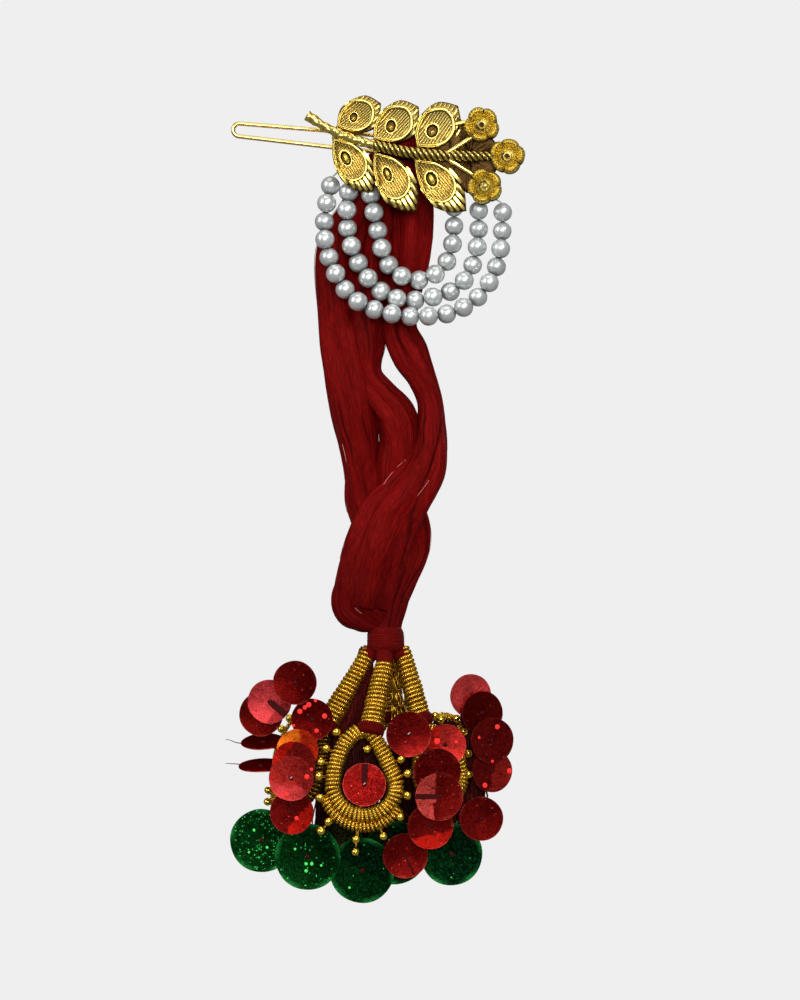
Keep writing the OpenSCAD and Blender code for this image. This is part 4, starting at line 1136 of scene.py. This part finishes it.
def foil_look(name, speck, dark, edge, glint_colour, rough):
    look = Look(name, Metallic=1.0, Specular_Tint=edge)
    at, tint, tint2 = (look.mark(key, True) for key in ("polar", "tint", "tint2"))
    patches = look.noise(at, 2.2, 3, 0.6)
    grain = look.noise(at, 18.0, 3, 0.7)
    cells = look.node("TexVoronoi", {"Vector": at, "Scale": 15.0}, feature="F1")
    flake = look.node("SeparateColor", {"Color": cells.outputs["Color"]}).outputs[0]
    lit = look.math("GREATER_THAN", look.math("ADD", flake, look.mark("glitter")), 1.0)
    lit = look.times(lit, look.spread(cells.outputs["Distance"], 0.24, 0.34, 1.0, 0.0))
    # A facet's tint, split off along a line, is a painted reflection of a bend in the sequin
    side = look.math("ADD", look.mark("side"), look.times(look.math("SUBTRACT", patches, 0.5), 0.5))
    colour = look.mix(look.times(look.spread(side, -0.04, 0.04), look.mark("mixed")), tint, tint2)
    colour = look.mix(look.spread(grain, 0.5, 0.78, 0.0, 0.35), colour, speck)
    colour = look.mix(look.spread(patches, 0.5, 0.3, 0.0, 0.45), colour, dark)
    # Painted glints on a share of the grains, and a painted highlight round the rim
    colour = look.mix(look.times(lit, 0.9), colour, glint_colour)
    colour = look.mix(look.times(look.mark("rim"), 0.35), colour, glint_colour)
    look.set(Base_Color=colour, Roughness=look.spread(flake, 0, 1, rough, rough + 0.2))
    look.set(Normal=look.bump(look.math("ADD", grain, flake), 0.02, 0.4))
    return look.material


red_foil = foil_look("red_foil", (0.50, 0.022, 0.016), (0.03, 0.001, 0.001), (0.3, 0.02, 0.015),
                     (0.9, 0.12, 0.09), 0.24)
green_foil = foil_look("green_foil", (0.02, 0.30, 0.05), (0.001, 0.006, 0.002), (0.02, 0.3, 0.06),
                       (0.06, 0.75, 0.14), 0.22)
FACES = {}
for colour, material, rows, foils, base in [("red", red_foil, RED, RED_FOILS, 1),
                                            ("green", green_foil, GREEN, GREEN_FOILS, 61)]:
    for k, row in enumerate(rows):
        name = f"{colour}_sequin_{k + 1}"
        sequin(name, row, f"{colour}_foil", material, foils[k], k + base)
        FACES[name] = (row[3], *sequin_face(row, k + base)[:3])

# Threads that hold the sequins, and bright dots in their foil
PIXEL, CENTRE_X, CENTRE_Y = 0.21, 380, 144


def seen(px, py):
    """The x and z of a place in the photograph's frame."""
    return (px - CENTRE_X) * PIXEL, (CENTRE_Y - py) * PIXEL


def on_face(name, flat, lift):
    """A place on a sequin's face [x, y], a little above it, in space."""
    r, m, centre, height = FACES[name]
    x, y = flat
    h = height(min(math.hypot(x, y) / r, 1), math.atan2(y, x)) + FACE_LIFT
    return centre + m @ vec(x, y, h + lift)


def face_spot(name, px, py):
    """Where a place in the photograph's frame falls on a sequin's face."""
    r, m, centre, height = FACES[name]
    x, z = seen(px, py)
    return np.linalg.solve(m[np.ix_([0, 2], [0, 1])], [x - centre[0], z - centre[2]])


def foil_dot(batch, name, px, py, size, colour):
    profile = [[0.01, 0.05], [0.5 * size, 0.045], [0.9 * size, 0.02], [size, -0.03], [0.5 * size, -0.05]]
    place = on_face(name, face_spot(name, px, py), 0.04)
    batch.add(*turned(profile, 14, place, FACES[name][1] @ vec(0, 0, 1)), tint=colour,
              ring=np.repeat([1.0, 0.6, 0.0, 0.2, 0.2], 14))


DOT_EDGE = (0.3, 0.01, 0.01)


def dot_look():
    look = Look("foil_dot", Roughness=0.35, Specular_IOR_Level=0.1)
    tint = look.mark("tint", True)
    colour = look.mix(look.times(look.mark("ring"), 0.45), tint, DOT_EDGE)
    # The dots glow a little in their own tint: painted light
    look.set(Base_Color=colour, Emission_Color=tint, Emission_Strength=0.35)
    return look.material


# Each dot: sequin's number, place in the photograph's frame, and radius there
RED_DOTS = [
    (4, 300.7, 709.7, 2.6), (4, 305.6, 705.7, 2.2), (4, 309.5, 702.9, 2.7), (4, 316.2, 698.8, 1.7),
    (4, 325.3, 714.2, 2.6), (4, 317.3, 728.8, 2.1), (4, 294.7, 723.8, 1.3), (7, 308.0, 773.5, 2.4),
    (7, 312.7, 766.2, 1.6), (7, 288.0, 791.0, 2.0), (8, 297.5, 815.0, 2.0), (18, 497.5, 727.5, 2.5),
    (18, 479.2, 738.0, 1.4), (18, 492.5, 762.0, 1.5), (19, 509.7, 772.2, 2.5), (19, 485.0, 786.2, 2.6),
    (10, 436.7, 739.2, 3.0), (10, 455.8, 740.0, 1.6)]
GREEN_DOTS = [
    (2, 307, 860.5, 1.7), (2, 312.5, 860.5, 1.7), (2, 307, 867.5, 1.7), (2, 296, 846, 1.3),
    (1, 255, 828, 1.4), (1, 268, 845, 1.4), (1, 250, 850, 1.2), (2, 322, 862, 1.2), (3, 350, 884, 1.2)]
dots = Batch()
for colour, spots, tint in [("red", RED_DOTS, (1.0, 0.035, 0.03)), ("green", GREEN_DOTS, (0.04, 0.8, 0.12))]:
    for k, px, py, size in spots:
        foil_dot(dots, f"{colour}_sequin_{k}", px, py, size * PIXEL, tint)
dots.build("foil_dots", "red_foil", dot_look(), sharp=60)


def knot(batch, name, size):
    """A thread's knot that fills a sequin's hole and stands a little above the face."""
    profile = [[0.02, 0.22], [0.5 * size, 0.2], [size, 0.06], [size, -0.02], [0.42, -0.1], [0.4, -0.5],
               [0.02, -0.5]]
    batch.add(*turned(profile, 14, on_face(name, (0.01, 0), 0.0), FACES[name][1] @ vec(0, 0, 1)))


def stitch(batch, name, turn, share, half):
    """Threads laid side by side from a sequin's hole towards its rim."""
    r = FACES[name][0]
    d = polar(1, math.radians(turn))
    n = vec(-d[1], d[0])
    for off in np.linspace(-half, half, max(int(half / 0.14) * 2, 2)):
        ends = np.linspace(0.05, share * math.sqrt(max(r * r - off * off, 0.1)), 14)
        wave = off * (1 - 0.35 * np.exp(-ends / 0.8)) + 0.03 * np.sin(ends * 3 + off * 9)
        line = np.array([on_face(name, d * t + n * w, 0.07) for t, w in zip(ends, wave)])
        batch.add(*sweep(line, 0.13, 6))


# Each stitch: red sequin's number, turn, share of the radius, half width; then the loose tails' places
STITCHES = [(2, -38, 0.97, 0.62), (22, 88, 0.97, 0.55), (12, 179, 0.98, 0.45), (8, 92, 0.6, 0.1),
            (14, -65, 0.9, 0.1)]
TAILS = {20: [(241.5, 742.5), (236, 741.5), (231, 739.5), (226, 738.5)],
         21: [(241, 763.5), (236, 763.0), (231, 762.8), (226, 762.5)]}
# Short pale threads on three sequins stand for glints: painted highlights
GLINT_STITCHED = (7, 9, 22)
stitches, glint_stitches = Batch(), Batch()
dark_thread = thread_look("dark_thread", (0.075, 0.0025, 0.003), (0.030, 0.001, 0.0015), 0.0)
for name in FACES:
    knot(stitches, name, 0.47)
for k in GLINT_STITCHED:
    line = [on_face(f"red_sequin_{k}", (0.28 * t - 0.2, 0.22 * t), 0.25 - 0.12 * (t - 0.8) ** 2)
            for t in np.linspace(0, 1.6, 8)]
    glint_stitches.add(*sweep(line, 0.10, 8))
for k, turn, share, half in STITCHES:
    stitch(stitches, f"red_sequin_{k}", turn, share, half)
for k, tail in TAILS.items():
    y = FACES[f"red_sequin_{k}"][2][1]
    line = curve([[seen(px, py)[0], y, seen(px, py)[1]] for px, py in tail], 6)
    stitches.add(*sweep(line, np.linspace(0.12, 0.06, len(line)), 6))
stitches.build("stitches", "silk", dark_thread)
glint_stitches.build("glint_stitches", "silk", thread_look("glint_thread", (0.85, 0.62, 0.60), (0.6, 0.3, 0.3)))


# Seed beads

def bead_look():
    look = Look("bead_gilt", Metallic=1.0, Base_Color=(0.85, 0.60, 0.08), Specular_Tint=(0.9, 0.6, 0.15))
    grain = look.noise(look.place(), 1.6, 2)
    look.set(Roughness=look.spread(grain, 0.3, 0.7, 0.08, 0.2))
    return look.material


def on_loop(name, px, py, forward):
    """The point of a loop's plane that is seen at a place in the photograph's frame, moved forward of it."""
    top, centre, turn = DROPS[name]
    m = spin(turn)
    x, z = seen(px, py)
    across = np.linalg.solve(m[np.ix_([0, 2], [0, 2])], [x - centre[0], z - centre[2]])
    return np.array(centre) + m @ vec(across[0], -forward, across[1])


BEADS = {
    "front": [(337, 730), (327, 746), (322, 759), (320, 773), (321, 794), (329.6, 817.5), (322.3, 826.4),
              (356.7, 834.8), (356, 847), (383.5, 831.7), (400.3, 813), (407.2, 792), (407.6, 770.5),
              (401, 756.7), (367.4, 746.8)],
    "left": [(291, 720), (283, 731), (274, 747), (269.5, 767.5), (270, 792), (269.5, 803)],
    "right": [(433, 716), (439, 720), (454.6, 720), (462.3, 733.6), (466.6, 755), (466.6, 775.7)]}
# Cords that carry the beads of the side loops: their places in the photograph's frame, and their radius
BEAD_CORDS = {
    "left": ([(312, 726), (302, 717), (291, 720.5), (283, 731.5), (275, 747), (271, 767), (271, 785),
              (271, 803), (279, 813), (290, 812)], 0.5),
    "right": ([(424, 727), (429, 717), (439, 717), (450, 717), (459, 724), (463.5, 736), (465, 754),
               (465, 775), (460, 792), (448, 802)], 0.85)}
BEAD_FRONT, BEAD_R = -12.3, 0.93
beads = Batch()
draws = np.random.default_rng(17)
for name, spots in BEADS.items():
    for px, py in spots:
        at = on_loop(name, px, py, 0.6)
        at[1] = max(at[1], BEAD_FRONT)
        profile = drilled_ball(BEAD_R * draws.uniform(0.94, 1.06), 0.42, 14, 0.9, 0.28, 0.6)[1]
        beads.add(*turned(profile, 28, at, draws.normal(size=3) * [1, 0.3, 1] + [0, 0, 0.5]))
beads.build("seed_beads", "gold_wire", bead_look())

# The cords and short wires that hold the beads, and loose dark threads between the legs and below the loops
# that also fill those gaps as painted shade
bead_wires = Batch()
for name, (spots, r) in BEAD_CORDS.items():
    line = resample(curve([on_loop(name, px, py, -0.5) for px, py in spots], 12), 150)
    coil(bead_wires, line, r, 0.2, 0.42, 541 + len(spots), fine=False)
# Two short wires from the front loop to each bead, painted dark as shade
line = loop_line(*DROPS["front"][1:], 200, True)
for px, py in BEADS["front"]:
    at = on_loop("front", px, py, 0.3)
    near = line[np.argmin(np.linalg.norm(line - at, axis=1))]
    near = near + unit(at - near) * (CORD_R - 0.3)
    for off in (-0.16, 0.16):
        across = unit(np.cross(at - near, [0, 1, 0])) * off
        bead_wires.add(*sweep(np.linspace(near + across, at + across * 0.5, 5), 0.13, 6), tone=0.3, dark=0.8)
draws = np.random.default_rng(71)
FUZZY_ENDS = 46
for _ in range(FUZZY_ENDS):
    # Wire ends that lie between the middle leg and the right one, painted darker by random amounts as shade
    t = draws.random()
    a = vec(2.2 + 1.6 * t, 1.2 + draws.normal() * 0.5, -106.9 - draws.random())
    b = vec(2.6 + 5.0 * t, 2.0 + draws.normal() * 0.5, -119.5 - 2.5 * draws.random())
    line = np.linspace(a, b, 14) + draws.normal(0, 0.14, (14, 3))
    bead_wires.add(*sweep(curve(line, 2), 0.17, 6), tone=draws.random(), dark=0.25 + 0.3 * draws.random())
bead_wires.build("bead_wires", "gold_wire", wire)

tangle = Batch()
# Where bare dark threads run, dark as painted shade in the gaps they fill: how many, from [px, py] to [px,
# py] with half widths, and how far back
THREAD_RUNS = [
    (150, (358, 820), (358, 855), (28, 28), -5.6, 0.1), (120, (361, 730), (363, 774), (16, 16), -6.2, 0.2),
    (70, (374, 800), (376, 822), (14, 14), -6.2, 0.1), (170, (367, 650), (349, 740), (6, 17), 1.6, 1.0),
    (90, (404, 738), (412, 806), (12, 12), 0.6, 0.3), (110, (325, 722), (328, 836), (10, 10), 1.0, 0.2),
    (90, (468, 708), (470, 776), (6, 8), 5.2, 0.7), (80, (463, 796), (462, 836), (10, 10), 5.0, 0.5),
    (70, (477, 768), (474, 808), (8, 11), 5.6, 0.6), (50, (446, 719), (446, 738), (12, 13), 3.6, 0.3)]
for count, a, b, half, depth, red in THREAD_RUNS:
    for _ in range(count):
        off = draws.uniform(-1, 1)
        ends = [seen(a[0] + off * half[0], a[1] + draws.normal() * 2),
                seen(b[0] + off * half[1] + draws.normal() * 3, b[1] + draws.normal() * 3)]
        y = depth + draws.uniform(-0.7, 0.7)
        line = np.linspace([ends[0][0], y, ends[0][1]], [ends[1][0], y, ends[1][1]], 7)
        line = line + draws.normal(0, 0.18, (7, 3))
        tangle.add(*sweep(line, draws.uniform(0.13, 0.23), 4), red=red)


# Near-black and dark red threads: painted shade
BLACK, BLACKER = (0.028, 0.003, 0.003), (0.008, 0.001, 0.001)
DULL_RED, DARK_RED = (0.12, 0.004, 0.004), (0.05, 0.002, 0.002)


def tangle_look():
    look = Look("black_thread", Roughness=0.6, Specular_IOR_Level=0.1)
    grain = look.spread(look.noise(look.place((1, 1, 3)), 3.0, 2), 0.3, 0.7)
    dull = look.mix(grain, BLACK, BLACKER)
    red = look.mix(grain, DULL_RED, DARK_RED)
    look.set(Base_Color=look.mix(look.mark("red"), dull, red))
    return look.material


tangle.build("shadow_threads", "silk", tangle_look())

# CAD nodes that keep their shape
KEPT = {"hair_pin": rod_gilt, "thread_outer": ivory_thread, "thread_middle": ivory_thread,
        "thread_inner": ivory_thread}
for name, material in KEPT.items():
    for material_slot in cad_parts[name].material_slots:
        material_slot.material = material

# Camera, lights, floor and backdrop
scene = bpy.context.scene
CAMERA_AT, CAMERA_LENS, SENSOR_WIDTH = (0.0042, -0.8, -0.07476), 137.14, 36
camera = new_object("camera", bpy.data.cameras.new("camera"))
camera.location = CAMERA_AT
camera.rotation_euler = (math.pi / 2, 0, 0)
camera.data.lens = CAMERA_LENS
camera.data.sensor_width = SENSOR_WIDTH
scene.camera = camera

MIDDLE = Vector((0.003, 0, -0.075))
# Each soft light: name, place, width and height, power
LIGHTS = [("key", (0.30, -0.62, 0.36), (0.14, 0.14), 2.0), ("fill", (0.02, -0.92, 0.14), (0.45, 0.30), 4.6),
          ("left", (-0.62, -0.35, 0.22), (0.30, 0.50), 1.8), ("top", (0.0, -0.15, 0.65), (0.6, 0.35), 1.4),
          ("back", (0.1, 1.0, 0.25), (0.7, 0.7), 2.4)]
for name, place, size, watts in LIGHTS:
    data = bpy.data.lights.new(name, "AREA")
    data.shape = "RECTANGLE"
    data.size, data.size_y = size
    data.energy = watts
    light = new_object(name, data)
    light.location = place
    light.rotation_euler = (MIDDLE - Vector(place)).to_track_quat("-Z", "Y").to_euler()

WORLD_LIGHT = 0.22
world = bpy.data.worlds.new("studio")
scene.world = world
world.use_nodes = True
background = world.node_tree.nodes["Background"].inputs
background["Color"].default_value = (1, 1, 1, 1)
background["Strength"].default_value = WORLD_LIGHT
scene.view_settings.view_transform = "Standard"


PAPER, PAPER_PALE, PAPER_GLOW = (0.09, 0.09, 0.09), (0.10, 0.10, 0.10), 0.815


def cove():
    """A pale round floor that curves up into a wall on every side."""
    floor_z, wall_top, wall, r, cols = -450.0, 1600.0, 1300.0, 300.0, 96
    a = np.linspace(0, math.pi / 2, 24)
    bend = np.stack([wall - r + r * np.sin(a), floor_z + r - r * np.cos(a)], 1)
    profile = np.concatenate([[[1.0, floor_z]], bend, [[wall, wall_top]]])[:, :, None]
    flat = polar(profile[:, 0], circle(cols))
    points = np.concatenate([flat, profile[:, 1:] + 0 * flat[..., :1]], -1).reshape(-1, 3)
    mesh = bpy.data.meshes.new("backdrop")
    floor_middle = list(range(cols))
    mesh.from_pydata((points * MM).tolist(), [], grid_faces(len(profile), cols).tolist() + [floor_middle])
    mesh.polygons.foreach_set("use_smooth", np.ones(len(mesh.polygons), bool))
    piece = new_object("backdrop", mesh)
    look = Look("paper", Roughness=0.9)
    grain = look.noise(look.place(), 0.02, 2)
    look.set(Base_Color=look.mix(grain, PAPER, PAPER_PALE),
             Emission_Color=(1, 1, 1), Emission_Strength=PAPER_GLOW)
    mesh.materials.append(look.material)
    piece.visible_diffuse = piece.visible_glossy = piece.visible_shadow = False


cove()
